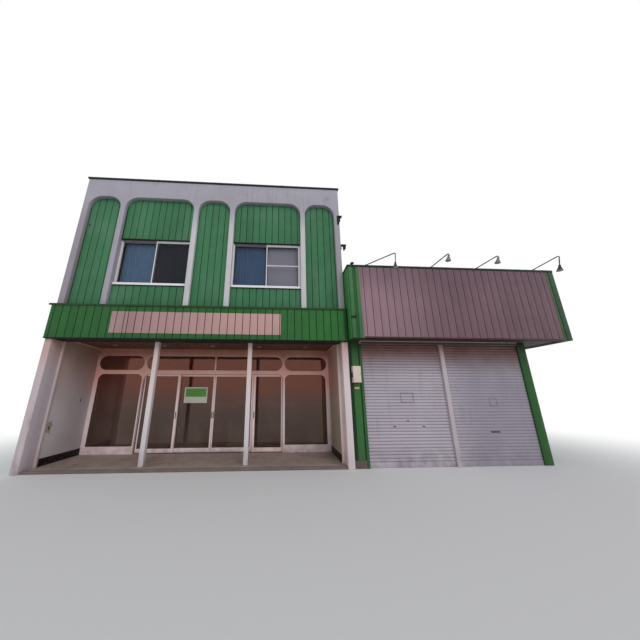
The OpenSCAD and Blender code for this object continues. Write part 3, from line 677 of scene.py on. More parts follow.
    # Painted reflection: a bluish sky tint on the upper panes, and a salmon tint on the shop's panes that grows higher
    # up.
    upper_glass = Pane("upper_glass", (0.92, 0.93, 0.935), sheen=(0.62, 0.66, 0.74), clear=0.94, gloss=0.9, dust=0.03)
    shop_glass = Pane("shop_glass", (0.86, 0.80, 0.78), sheen=(0.86, 0.74, 0.68), warm=(1.0, 0.655, 0.56),
        clear=0.90, gloss=3.2, warm_gloss=1.6, dust=0.12)
    slab = Concrete("slab_concrete", (0.69, 0.62, 0.585), damp=(0.50, 0.44, 0.41),
        veils=(Veil(Y, 0.15, -0.02, (0.44, 0.39, 0.385), 0.9),))
    annex_slab = Concrete("annex_concrete", (0.42, 0.385, 0.34))
    ceiling = Panel("porch_ceiling_brown", (0.375, 0.25, 0.20), stain=(0.24, 0.16, 0.13), staining=0.45, rough=0.55)
    eave_boards = Panel("eave_boards_grey", (0.37, 0.33, 0.325), stain=(0.24, 0.20, 0.19), staining=0.5)
    eave_brown = Panel("eave_boards_brown", (0.32, 0.215, 0.22), stain=(0.20, 0.13, 0.13), staining=0.5)
    # Warm painted shade darkens the left lining towards the ceiling.
    left_lining = Panel("porch_lining_left", (0.79, 0.76, 0.775), stain=(0.60, 0.56, 0.55), staining=0.3,
        veils=(Veil(Z, 1.0, 2.8, (0.66, 0.53, 0.46), 0.9),))
    # Painted warm bounced light tints the right lining's upper part; the peeling low down is wear.
    right_lining = Panel("porch_lining_right", (0.74, 0.66, 0.66), stain=(0.50, 0.42, 0.38), staining=0.6,
        low_peel=0.9, low_peel_top=1.3, veils=(Veil(Z, 1.1, 1.9, (0.78, 0.60, 0.53), 0.8),))
    upper_floor = Panel("upper_floor_boards", (0.50, 0.40, 0.31), staining=0.3)
    room_walls = Wall("wall_backing_green", (0.04, 0.11, 0.055), within=(0.80, 0.60, 0.52))
    annex_walls = Wall("annex_wall_backing", (0.04, 0.11, 0.055), within=(0.50, 0.49, 0.47),
        room=((3.49, 0.12, 0.0), (8.0, 5.4, 3.2)))
    fascia_backing = Wall("fascia_backing", (0.13, 0.08, 0.10), within=(0.47, 0.45, 0.43),
        room=((3.5, -0.27, 2.95), (8.98, 5.6, 4.70)))
    skirting = Tile("skirting_tile", (0.115, 0.07, 0.08))
    grout = Concrete("skirting_grout", (0.20, 0.165, 0.165))
    # The right curtain is darker, partly dirt and partly painted shade; painted shade browns the tops under the fascia.
    shutter = Paint("shutter_grey", (0.755, 0.72, 0.765), dirt=(0.36, 0.32, 0.34), faded=(0.82, 0.80, 0.82),
        fading=0.3, streaks=0.3, tone_range=0.03, rough=0.42, joint_pitch=0.07, joint_start=0.114,
        veils=(Veil(X, 5.7, 6.6, (0.56, 0.535, 0.59), 0.65), Veil(Z, 1.9, 2.72, (0.38, 0.18, 0.10), 0.92)))
    # Painted shade browns the post towards the fascia.
    guide_paint = Paint("shutter_post_paint", (0.79, 0.745, 0.765), dirt=(0.42, 0.36, 0.34),
        faded=(0.83, 0.80, 0.81), chips=0.2, veils=(Veil(Z, 2.1, 2.78, (0.55, 0.355, 0.28), 0.7),))
    # Painted shade: a dark brown for the shade under the fascia.
    lintel_brown = Paint("lintel_painted_shade_brown", (0.28, 0.19, 0.17), dirt=(0.14, 0.09, 0.08), faded=(0.34, 0.26, 0.24),
        chips=0.15)
    roof_sheet = Paint("roof_sheet_grey", (0.36, 0.38, 0.38), fading=0.4, faded=(0.50, 0.50, 0.49), chips=0.3,
        rough=0.5, streaks=0.5)
    lamp_metal = Paint("lamp_dark_metal", (0.20, 0.22, 0.22), dirt=(0.12, 0.11, 0.10), faded=(0.42, 0.44, 0.44),
        fading=0.35, chips=0.2, rough=0.4,
        veils=tuple(patch(low, high, (0.62, 0.63, 0.60), 0.85) for low, high in (
            ((5.82, -0.80, 4.6), (6.0, -0.57, 4.87)), ((7.10, -0.78, 4.6), (7.28, -0.55, 4.87)),
            ((8.5, -0.9, 4.4), (8.9, -0.5, 4.535)), ((4.5, -0.8, 4.4), (4.8, -0.4, 4.555)))))
    lens = Frosted("lamp_lens", (0.66, 0.62, 0.58))
    light_plastic = Paint("downlight_plastic", (0.66, 0.58, 0.54), dirt=(0.45, 0.40, 0.35), rough=0.35)
    box_plastic = Paint("meter_box_beige", (0.95, 0.865, 0.81), dirt=(0.46, 0.40, 0.34), faded=(0.90, 0.86, 0.80),
        rough=0.4)
    red_trim = Paint("fascia_lower_trim", (0.33, 0.17, 0.17), dirt=(0.15, 0.09, 0.09), faded=(0.42, 0.27, 0.27),
        chips=0.25)
    pale_trim = Paint("eave_edge_pale", (0.66, 0.62, 0.62), dirt=(0.36, 0.32, 0.31), streaks=0.5)
    rubber = Finish("gasket_black", (0.05, 0.05, 0.05))
    # Painted shade: near black for the inside of holes and the shadow gap beside the linings.
    hole_dark = Finish("open_hole_painted_shade", (0.03, 0.03, 0.03))
    rusty = Paint("rusted_bracket", (0.15, 0.13, 0.13), faded=(0.26, 0.20, 0.17), fading=0.5, chips=0.5, rough=0.8)
    steel = Paint("worn_steel", (0.56, 0.56, 0.57), faded=(0.66, 0.66, 0.67), rough=0.35, metallic=0.7)
    notice_green = Panel("notice_green", (0.36, 0.60, 0.26), stain=(0.50, 0.68, 0.42))
    notice_paper = Panel("notice_paper", (0.82, 0.82, 0.76), stain=(0.60, 0.62, 0.54), staining=0.4)
    label_paper = Panel("label_paper", (0.82, 0.78, 0.56))
    label_olive = Panel("label_plate_olive", (0.42, 0.40, 0.15), staining=0.4)
    backing = Panel("window_backing", (0.83, 0.79, 0.835), stain=(0.70, 0.67, 0.72))
    # Painted reflection: bluish cloths whose colour stands in for the sky reflected in the left panes.
    curtain = Panel("window_curtain_sky_reflection", (0.475, 0.615, 0.755), stain=(0.38, 0.52, 0.68))
    curtain_dark = Panel("window_curtain_dark", (0.36, 0.49, 0.66), stain=(0.32, 0.44, 0.60))
    # Painted shade: a darker grey for the shade lines round the shutters' hatches.
    hatch_grey = Paint("shutter_hatch_rim_shade", (0.50, 0.48, 0.52), dirt=(0.30, 0.27, 0.28), faded=(0.60, 0.58, 0.62))
    # Painted shade: a near-black sheet behind a pane stands in for the unlit room.
    blind = Panel("window_painted_shade_blind", (0.06, 0.06, 0.09), stain=(0.08, 0.08, 0.09), staining=0.4)
    peeled_lining = Concrete("peeled_lining", (0.70, 0.63, 0.55), damp=(0.50, 0.44, 0.38))


def added(name: str, data: bpy.types.ID) -> Piece:
    """Adds an object to the scene.

    Args:
        name: the object's name.
        data: its mesh, lamp or camera.

    Returns:
        The object.
    """
    obj = bpy.data.objects.new(name, data)
    bpy.context.scene.collection.objects.link(obj)
    return obj


def smooth(mesh: bpy.types.Mesh, angle: float = SHARP_ANGLE) -> None:
    """Shades a mesh smooth but for edges sharper than the angle in degrees."""
    mesh.shade_smooth()
    mesh.set_sharp_from_angle(angle=math.radians(angle))


def blank(name: str, bm: bmesh.types.BMesh, finish: Finish, angle: float = SHARP_ANGLE) -> Piece:
    """Turns a worked mesh into an object with one finish.

    Args:
        name: the piece's name.
        bm: the mesh, which is freed.
        finish: its finish.
        angle: edges sharper than this many degrees stay sharp.

    Returns:
        The object, linked to the scene.
    """
    bmesh.ops.recalc_face_normals(bm, faces=bm.faces[:])
    mesh = bpy.data.meshes.new(name)
    bm.to_mesh(mesh)
    bm.free()
    mesh.materials.append(finish.build())
    smooth(mesh, angle)
    return added(name, mesh)


def baked(obj: Piece) -> Piece:
    """Turns an object's modifiers into a plain mesh.

    Args:
        obj: the object.

    Returns:
        The same object without modifiers.
    """
    state = bpy.context.evaluated_depsgraph_get()
    made = bpy.data.meshes.new_from_object(obj.evaluated_get(state), depsgraph=state)
    obj.modifiers.clear()
    old, obj.data = obj.data, made
    bpy.data.meshes.remove(old)
    smooth(made)
    return obj


def eased(obj: Piece, radius: float, segments: int = 2) -> Piece:
    """Rounds an object's edges.

    Args:
        obj: the object.
        radius: size of the rounding in metres.
        segments: faces across it.

    Returns:
        The same object.
    """
    modifier = obj.modifiers.new("ease", "BEVEL")
    modifier.width = radius
    modifier.segments = segments
    modifier.limit_method = "ANGLE"
    modifier.angle_limit = math.radians(EASE_ANGLE)
    modifier.harden_normals = False
    return baked(obj)


def joined(name: str, objects: Sequence[Piece]) -> Piece:
    """Joins two or more objects into the first one.

    Args:
        name: the joined piece's name.
        objects: the objects.

    Returns:
        The joined object.
    """
    bpy.ops.object.select_all(action="DESELECT")
    for obj in objects:
        obj.select_set(True)
    first = bpy.context.view_layer.objects.active = objects[0]
    bpy.ops.object.join()
    first.name = first.data.name = name
    return first


def blocks(name: str, spans: Iterable[Span], finish: Finish, ease: float = 0.0) -> Piece:
    """Makes blocks as one piece.

    Args:
        name: the piece's name.
        spans: lowest and highest corner of each block.
        finish: their finish.
        ease: rounding of the edges.

    Returns:
        The object.
    """
    bm = bmesh.new()
    for low, high in spans:
        low, high = Vector(low), Vector(high)
        place = Matrix.Translation((high + low) / 2) @ Matrix.Diagonal((*(high - low), 1.0))
        bmesh.ops.create_cube(bm, size=1.0, matrix=place)
    obj = blank(name, bm, finish)
    return eased(obj, ease) if ease > 0 else obj


def outline(x0: float, x1: float, z0: float, z1: float, top: float, foot: float = 0.0) -> list[Point]:
    """Draws a rectangle with rounded corners.

    Args:
        x0: left side.
        x1: right side.
        z0: lower side.
        z1: upper side.
        top: radius of the upper corners.
        foot: radius of the lower corners.

    Returns:
        The points, in order.
    """
    points = []
    for cx, cz, r, start in ((x1 - foot, z0 + foot, foot, 270), (x1 - top, z1 - top, top, 0),
            (x0 + top, z1 - top, top, 90), (x0 + foot, z0 + foot, foot, 180)):
        for i in range(CORNER_STEPS + 1):
            a = math.radians(start + 90 * i / CORNER_STEPS)
            points.append((cx + r * math.cos(a), cz + r * math.sin(a)))
    return points


def sweep(bm: bmesh.types.BMesh, rows: Sequence[Sequence[bmesh.types.BMVert]], ends: bool) -> None:
    """Lays faces round and between rows of as many vertices.

    Args:
        bm: the mesh.
        rows: the rows, each closed on itself.
        ends: closes the first and the last row with a face; otherwise the last row meets the first.
    """
    count = len(rows[0])
    pairs = list(zip(rows, rows[1:])) + ([] if ends else [(rows[-1], rows[0])])
    for a, b in pairs:
        for i in range(count):
            j = (i + 1) % count
            bm.faces.new((a[i], a[j], b[j], b[i]))
    if ends:
        bm.faces.new(rows[0][::-1])
        bm.faces.new(rows[-1])


def ring(bm: bmesh.types.BMesh, outer: Sequence[Point], inner: Sequence[Point], y0: float, y1: float) -> None:
    """Adds a flat frame between two outlines of as many points, given as X and Z, from front to back."""
    sweep(bm, [[bm.verts.new((x, y, z)) for x, z in line]
        for line, y in ((outer, y0), (inner, y0), (inner, y1), (outer, y1))], False)


def gasket(bm: bmesh.types.BMesh, sides: Row, top: float, foot: float, y: float,
        wide: float = 0.006) -> None:
    """Adds a gasket round a glazed light.

    Args:
        bm: the mesh.
        sides: left, right, lower and upper side of the light.
        top: radius of its upper corners.
        foot: radius of its lower corners.
        y: Y of the gasket's back.
        wide: width of the gasket.
    """
    x0, x1, z0, z1 = sides
    deep, least = 0.004, wide + 0.0005
    top, foot = max(top, least), max(foot, least)
    ring(bm, outline(x0, x1, z0, z1, top, foot),
        outline(x0 + wide, x1 - wide, z0 + wide, z1 - wide, top - wide, foot - wide), y - deep, y)


class Tree(Nodes):
    """A geometry node tree with named inputs."""

    def __init__(self, name: str, **inputs: str) -> None:
        """Starts the tree.

        Args:
            name: the tree's name.
            **inputs: kind of each input after the geometry.
        """
        super().__init__(bpy.data.node_groups.new(name, "GeometryNodeTree"))
        face = self.tree.interface
        face.new_socket("Geometry", in_out="INPUT", socket_type="NodeSocketGeometry")
        self.ids = {label: face.new_socket(label, in_out="INPUT", socket_type="NodeSocket" + kind).identifier
            for label, kind in inputs.items()}
        face.new_socket("Geometry", in_out="OUTPUT", socket_type="NodeSocketGeometry")
        self.given = self.tree.nodes.new("NodeGroupInput").outputs
        self.result = self.tree.nodes.new("NodeGroupOutput").inputs

    def random(self) -> Socket:
        """Gives each element its own value from -1 to 1, drawn by the tree's seed."""
        links = {"Min": -1.0, "Max": 1.0, "Seed": self.given["Seed"]}
        return next(s for s in self.node("FunctionNodeRandomValue", links, data_type="FLOAT") if s.enabled)

    def close(self, instances: Socket) -> None:
        """Gives each instance a tone, makes them real and sets their material.

        Args:
            instances: the instances' socket.
        """
        toned = {"Geometry": instances, "Name": "tone", "Value": self.random()}
        toned = self.node("GeometryNodeStoreNamedAttribute", toned, data_type="FLOAT", domain="INSTANCE")[0]
        real = self.node("GeometryNodeRealizeInstances", {"Geometry": toned})[0]
        shown = self.node("GeometryNodeSetMaterial", {"Geometry": real, "Material": self.given["Material"]})[0]
        self.put(self.result[0], shown)

    def use(self, obj: Piece, **values: object) -> None:
        """Puts the tree on an object with its inputs set.

        Args:
            obj: the object.
            **values: the inputs by name.
        """
        modifier = obj.modifiers.new("repeat", "NODES")
        modifier.node_group = self.tree
        for label, value in values.items():
            modifier[self.ids[label]] = value


@cache
def board_tree() -> Tree:
    """Builds the tree that lays a field of boards side by side, the end ones cut to fit.

    Returns:
        The tree.
    """
    sizes = dict.fromkeys(("Length", "Height", "Pitch", "Depth", "Seam", "First", "Uneven"), "Float")
    t = Tree("board_field", Count="Int", **sizes, Seed="Int", Material="Material")
    g = t.given
    least = 0.012
    points = t.node("GeometryNodeMeshLine", {"Count": g["Count"], "Offset": (0.0, 0.0, 0.0)})[0]
    start = t.math("ADD", t.times(t.node("GeometryNodeInputIndex", {})[0], g["Pitch"]), g["First"])
    left = t.math("MAXIMUM", start, 0.0)
    right = t.math("MINIMUM", t.math("ADD", start, g["Pitch"]), g["Length"])
    wide = t.math("SUBTRACT", t.math("SUBTRACT", right, left), g["Seam"])
    y = t.math("ADD", t.times(g["Depth"], -0.5), t.times(t.random(), g["Uneven"]))
    middle = t.node("ShaderNodeCombineXYZ", {"X": t.times(t.math("ADD", left, right), 0.5), "Y": y,
        "Z": t.times(g["Height"], 0.5)})[0]
    size = t.node("ShaderNodeCombineXYZ", {"X": wide, "Y": g["Depth"], "Z": g["Height"]})[0]
    placed = t.node("GeometryNodeSetPosition", {"Geometry": points, "Position": middle})[0]
    cube = t.node("GeometryNodeMeshCube", {"Size": (1.0, 1.0, 1.0)})[0]
    fits = t.node("FunctionNodeCompare", {0: wide, 1: least}, data_type="FLOAT", operation="GREATER_THAN")[0]
    t.close(t.node("GeometryNodeInstanceOnPoints", {"Points": placed, "Selection": fits, "Instance": cube,
        "Scale": size})[0])
    return t


@cache
def repeat_tree() -> Tree:
    """Builds the tree that repeats the given piece along a line.

    Returns:
        The tree.
    """
    t = Tree("repeat_piece", Count="Int", Step="Vector", Seed="Int", Material="Material")
    points = t.node("GeometryNodeMeshLine", {"Count": t.given["Count"], "Offset": t.given["Step"]})[0]
    t.close(t.node("GeometryNodeInstanceOnPoints", {"Points": points, "Instance": t.given["Geometry"]})[0])
    return t


@dataclass
class Boards:
    """A field of boards drawn along X, up Z, with its face towards -Y; the first one may start outside it."""

    length: float
    height: float
    pitch: float
    depth: float = 0.009
    seam: float = 0.008
    first: float = 0.0
    ease: float = 0.0025
    uneven: float = 0.0004
    seed: int = 7

    def make(self, name: str, finish: Finish, place: Matrix) -> Piece:
        """Makes the field.

        Args:
            name: the piece's name.
            finish: the boards' finish.
            place: where the field goes.

        Returns:
            The object.
        """
        obj = added(name, bpy.data.meshes.new(name))
        sizes = {field.capitalize(): value for field, value in vars(self).items() if field != "ease"}
        board_tree().use(obj, Count=math.ceil((self.length - self.first) / self.pitch) + 1,
            Material=finish.build(), **sizes)
        eased(obj, self.ease)
        obj.data.transform(place)
        return obj


def facing(side: Side, corner: Row) -> Matrix:
    """Gives the place of a field that faces one side, from its lower left corner as seen from there."""
    return Matrix.Translation(Vector(corner)) @ Matrix.Rotation(math.radians(side.value), 4, "Z")


def first_seam(seam: float, start: float, pitch: float) -> float:
    """Gives where a field's first board starts so that one of its seams lies at a place."""
    return (seam - start) % pitch - pitch


def repeated(obj: Piece, count: int, step: Row, finish: Finish, seed: int = 3, ease: float = 0.0) -> Piece:
    """Repeats a piece along a line, its tones drawn by the seed and its edges rounded."""
    repeat_tree().use(obj, Count=count, Step=tuple(step), Seed=seed, Material=finish.build())
    return eased(obj, ease) if ease > 0 else baked(obj)


class Kit:
    """What every sub-assembly shares: it hangs its pieces on its body and reports them."""

    body = "building"

    def hang(self, obj: Piece, *nodes: str, slot: str | None = None) -> None:
        """Args:
            obj: the piece.
            *nodes: the CAD nodes it stands for.
            slot: not used.
        """
        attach(obj, self.body)
        if nodes:
            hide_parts(*nodes)
        obj.data.calc_loop_triangles()
        LOG.info("%s: %s with %d triangles", type(self).__name__, obj.name, len(obj.data.loop_triangles))

    def fit(self, name: str, finish: Finish, ease: float, *spans: Span, slot: str | None = None) -> None:
        """Makes blocks as one piece, with rounded edges, and hangs it."""
        self.hang(blocks(name, spans, finish, ease), slot=slot)

    def dress(self, node: str, finish: Finish) -> None:
        """Gives a CAD node its finish."""
        frame["nodes"][node].data.materials.clear()
        frame["nodes"][node].data.materials.append(finish.build())

    def soften(self, node: str, finish: Finish, ease: float, segments: int = 2) -> None:
        """Stands a copy with rounded edges in a CAD node's place.

        Args:
            node: the node.
            finish: its finish.
            ease: rounding of the edges.
            segments: faces across the rounding.
        """
        bm = bmesh.new()
        bm.from_mesh(frame["nodes"][node].data)
        bmesh.ops.remove_doubles(bm, verts=bm.verts[:], dist=SAME_PLACE)
        bmesh.ops.dissolve_limit(bm, angle_limit=math.radians(FLAT_ANGLE), verts=bm.verts[:], edges=bm.edges[:])
        self.hang(eased(blank(node + ".finished", bm, finish), ease, segments), node)


@dataclass
class Studio:
    """The pale floor, the soft light and the camera."""

    lens_mm: float = 12.15
    sensor_mm: float = 36.0
    shift: Point = (0.0481, 0.0398)
    eye: Row = (1.82834, -5.07748, 1.53355)
    pitch: float = 0.23005
    yaw: float = 0.04927
    floor_drop: float = 0.004
    floor_size: float = 60.0
    sky: Row = (0.93, 0.95, 1.0, 1.0)
    sky_strength: float = 0.55
    sun_from: Row = (0.35, -0.80, 0.62)
    sun_energy: float = 0.8
    sun_width: float = 40.0

    def floor(self) -> None:
        """Makes the floor, which belongs to the studio and not to the building."""
        bm = bmesh.new()
        bmesh.ops.create_grid(bm, x_segments=1, y_segments=1, size=self.floor_size)
        obj = blank("studio_floor", bm, StudioFloor("studio_floor", (0.93, 0.93, 0.93)))
        obj.location.z = -self.floor_drop

    def light(self) -> None:
        """Makes the soft world, which the camera sees as plain white, and one large soft lamp."""
        world = bpy.context.scene.world = bpy.data.worlds.new("studio")
        world.use_nodes = True
        nodes = Nodes(world.node_tree)
        nodes.tree.nodes.clear()
        soft = nodes.node("ShaderNodeBackground", {"Color": self.sky, "Strength": self.sky_strength})[0]
        white = nodes.node("ShaderNodeBackground", {"Color": WHITE, "Strength": 1.0})[0]
        seen = nodes.blend(nodes.node("ShaderNodeLightPath", {})["Is Camera Ray"], soft, white)
        nodes.node("ShaderNodeOutputWorld", {"Surface": seen})
        lamp = bpy.data.lights.new("soft_sun", "SUN")
        lamp.energy = self.sun_energy
        lamp.angle = math.radians(self.sun_width)
        lamp.color = (1.0, 0.98, 0.96)
        obj = added("soft_sun", lamp)
        obj.rotation_euler = Vector(self.sun_from).to_track_quat("Z", "Y").to_euler()
        obj.visible_glossy = False

    def camera(self) -> None:
        """Sets the camera where the photograph was taken from."""
        data = bpy.data.cameras.new("camera")
        data.sensor_width = self.sensor_mm
        data.lens = self.lens_mm
        data.shift_x, data.shift_y = self.shift
        data.clip_end = 200.0
        obj = added("camera", data)
        obj.location = self.eye
        obj.rotation_euler = (math.pi / 2 + self.pitch, 0.0, -self.yaw)
        bpy.context.scene.camera = obj
        bpy.context.scene.view_settings.view_transform = "Standard"

    def build(self) -> None:
        """Builds the studio."""
        self.floor()
        self.light()
        self.camera()


@dataclass
class ShopWalls(Kit):
    """The two-storey block's walls: backing, siding on every side, roof and coping."""

    half: float = 3.5
    rear: float = 8.0
    top: float = 7.44
    pitch: float = 0.178
    canopy_top: float = 3.70
    siding_y: float = 0.10
    arch_top: float = 6.885
    sill: float = 4.27
    head: float = 5.60
    rear_jamb: float = 0.565
    rear_far_jamb: float = 2.385
    annex_rear: float = 5.51
    roof_fall: float = 0.12
    coping_joints: Row = (-1.62, 0.125, 1.87)
    roof_seams: int = 15
    roof_seam_step: float = 0.44

    def bays(self) -> None:
        """Sides the five bays of the front, beside and between the windows; each sheet has its own seams."""
        low, high = self.canopy_top, self.arch_top
        fields = []
        for x0, x1, z0, z1, seam, pitch in (
                (-3.35, -2.52, low, high, -3.158, 0.180), (-2.39, -0.56, low, self.sill, -2.214, 0.1785),
                (-2.39, -0.56, self.head, high, -2.198, 0.1705), (-0.43, 0.43, low, high, -0.248, 0.178),
                (0.56, 2.39, low, self.sill, 0.718, 0.171), (0.56, 2.39, self.head, high, 0.722, 0.1765),
                (2.52, 3.35, low, high, 2.694, 0.1773)):
            row = Boards(x1 - x0, z1 - z0, pitch, depth=0.011, seam=0.014, first=first_seam(seam, x0, pitch),
                seed=11 + len(fields))
            fields.append(row.make("bay_boards", Look.upper_siding, facing(Side.FRONT, (x0, self.siding_y, z0))))
        self.hang(joined("upper_siding", fields), slot="upper_front_wall")

    def sides(self) -> None:
        """Sides the left, right and rear walls."""
        out, rear, top = self.half, self.rear, self.top
        fields = []
        for name, length, z0, side, x, y, seed in (
                ("left_boards", rear - 0.225, 0.0, Side.LEFT, -out, rear, 21),
                ("right_boards", 4.91, 3.24, Side.RIGHT, out, 0.6, 22),
                ("right_low_boards", rear - self.annex_rear, 0.0, Side.RIGHT, out, self.annex_rear, 23),
                ("right_front_boards", 0.494, 4.775, Side.RIGHT, out, 0.105, 24)):
            row = Boards(length, top - z0 - 0.01, self.pitch, seed=seed)
            fields.append(row.make(name, Look.upper_siding, facing(side, (x, y, z0))))
        near, far = self.rear_jamb, self.rear_far_jamb
        for x0, x1, z0, z1 in ((far, out, 0.0, top), (-out, -far, 0.0, top), (-near, near, 0.0, top),
                (near, far, 0.0, self.sill), (-far, -near, 0.0, self.sill),
                (near, far, self.head, top), (-far, -near, self.head, top)):
            row = Boards(x1 - x0, z1 - z0 - 0.008, self.pitch, first=-((out - x1) % self.pitch), seed=31 + len(fields))
            fields.append(row.make("rear_boards", Look.upper_siding, facing(Side.REAR, (x1, rear, z0 + 0.004))))
        self.hang(joined("side_siding", fields), slot="left_side_wall")

    def roof(self) -> None:
        """Lays the standing seams of the roof, and the coping with its joints."""
        lo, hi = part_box("roof_deck")
        run = hi.y - lo.y
        fall = math.atan2(self.roof_fall, run)
        length = run / math.cos(fall) - 0.01
        seam = blocks("roof_seams", [((-0.014, 0.0, 0.0), (0.014, length, 0.028))], Look.roof_sheet)
        repeated(seam, self.roof_seams, (self.roof_seam_step, 0, 0), Look.roof_sheet, ease=0.006)
        seam.data.transform(Matrix.Translation((-3.08, lo.y + 0.005, hi.z - 0.001)) @ Matrix.Rotation(-fall, 4, "X"))
        self.hang(seam, slot="roof_deck")
        self.soften("roof_coping", Look.coping, 0.004)
        z = self.top + 0.045
        self.fit("coping_laps", Look.coping, 0.001, *(
            ((x - 0.03, -0.0262, self.top), (x + 0.03, 0.05, z - 0.0003)) for x in self.coping_joints))

    def build(self) -> None:
        """Builds the walls."""
        for node in ("left_side_wall", "right_side_wall", "rear_wall", "upper_front_wall"):
            self.dress(node, Look.room_walls)
        self.dress("upper_floor", Look.upper_floor)
        self.dress("roof_deck", Look.roof_sheet)
        self.bays()
        self.sides()
        self.roof()


@dataclass
class FrontFrame(Kit):
    """The white arched frame over the siding."""

    def build(self) -> None:
        """Builds the frame."""
        self.soften("facade_frame", Look.frame_mortar, 0.008, segments=3)


@dataclass
class UpperWindows(Kit):
    """Four two-pane windows with gaskets, locks and what stands behind the panes."""

    centres: Point = (-1.475, 1.475)
    sill: float = 4.27
    head: float = 5.60
    half: float = 0.905
    sash: float = 0.053
    meeting: float = 0.014
    sash_faces: Point = (0.1445, 0.1785)
    folds: int = 96
    waves: Sequence[Point] = ((0.007, 0.72), (0.004, 0.31))

    def build(self) -> None:
        """Builds the windows."""
        self.soften("upper_window_frames", Look.window_paint, 0.0025)
        self.dress("upper_window_glass", Look.upper_glass)
        z0, z1, half = self.sill, self.head, self.half
        bm = bmesh.new()
        for x in self.centres:
            for sides, y in zip(((x + self.meeting, x + half - self.sash), (x - half + self.sash, x - self.meeting)),
                    self.sash_faces):
                gasket(bm, (*sides, z0 + self.sash, z1 - self.sash), 0.0, 0.0, y)
        self.hang(blank("upper_window_gaskets", bm, Look.rubber))
        for name, finish, ease, spans in (
                ("locks", Look.steel, 0.003, [((x - 0.012, 0.198, 4.93), (x + 0.012, 0.212, 4.99))
                        for x in self.centres]),
                # Dark strips under the sills and over the heads: drip edges that also stand in for the shade lines
                # there, as painted shade.
                ("drips_and_shade_lines", Look.coping, 0.003, [((x - half, y, z), (x + half, 0.0995, z + high))
                            for y, z, high in ((0.062, z0 - 0.012, 0.012), (0.070, z1, 0.016))
                            for x in self.centres]),
                ("sill_lips", Look.window_paint, 0.002, [((x - half, y, z0 + 0.024), (x + half, y + 0.012, z0 + 0.062))
                                for x in self.centres for y in (0.0655, 8.0225)]),
                ("side_trims", Look.frame_mortar, 0.002, [
                    ((x0, 0.0985, z0), (x0 + 0.014, 0.1215, z1))
                    for x in self.centres for x0 in (x - half - 0.011, x + half - 0.003)])):
            self.fit("upper_window_" + name, finish, ease, *spans)
        z0, z1 = z0 + 0.03, z1 - 0.03
        left, right = self.centres
        # A pale backing, and a near-black sheet that stands in for the dark room as painted shade.
        for name, x, finish in (("window_backing", right, Look.backing), ("window_painted_shade_blind", left, Look.blind)):
            self.fit(name, finish, 0.002, ((x + 0.02, 0.24, z0), (x + 0.86, 0.25, z1)))
        # The cloths' blue is painted sky reflection.
        for name, x, finish in (("left", left, Look.curtain), ("right", right, Look.curtain_dark)):
            self.hang(self.curtain("window_curtain_" + name, x - 0.87, x - 0.02, z0, z1, finish))

    def curtain(self, name: str, x0: float, x1: float, z0: float, z1: float, finish: Finish) -> Piece:
        """Hangs a softly folded curtain.

        Args:
            name: the piece's name.
            x0: left side.
            x1: right side.
            z0: foot.
            z1: top.
            finish: its cloth, coloured as a painted sky reflection.

        Returns:
            The curtain.
        """
        bm = bmesh.new()
        swings = [sum(high * math.sin(i * turn) for high, turn in self.waves) for i in range(self.folds + 1)]
        rows = [[bm.verts.new((x0 + (x1 - x0) * i / self.folds, y + out, z)) for i, out in enumerate(swings)]
            for y in (0.252, 0.249) for z in (z0, z1)]
        low_back, top_back, low_front, top_front = rows
        around = (low_front, top_front, top_back, low_back)
        for i in range(self.folds):
            for a, b in zip(around, (*around[1:], low_front)):
                bm.faces.new((a[i], a[i + 1], b[i + 1], b[i]))
        for i in (0, self.folds):
            bm.faces.new([row[i] for row in around])
        return blank(name, bm, finish, 60.0)


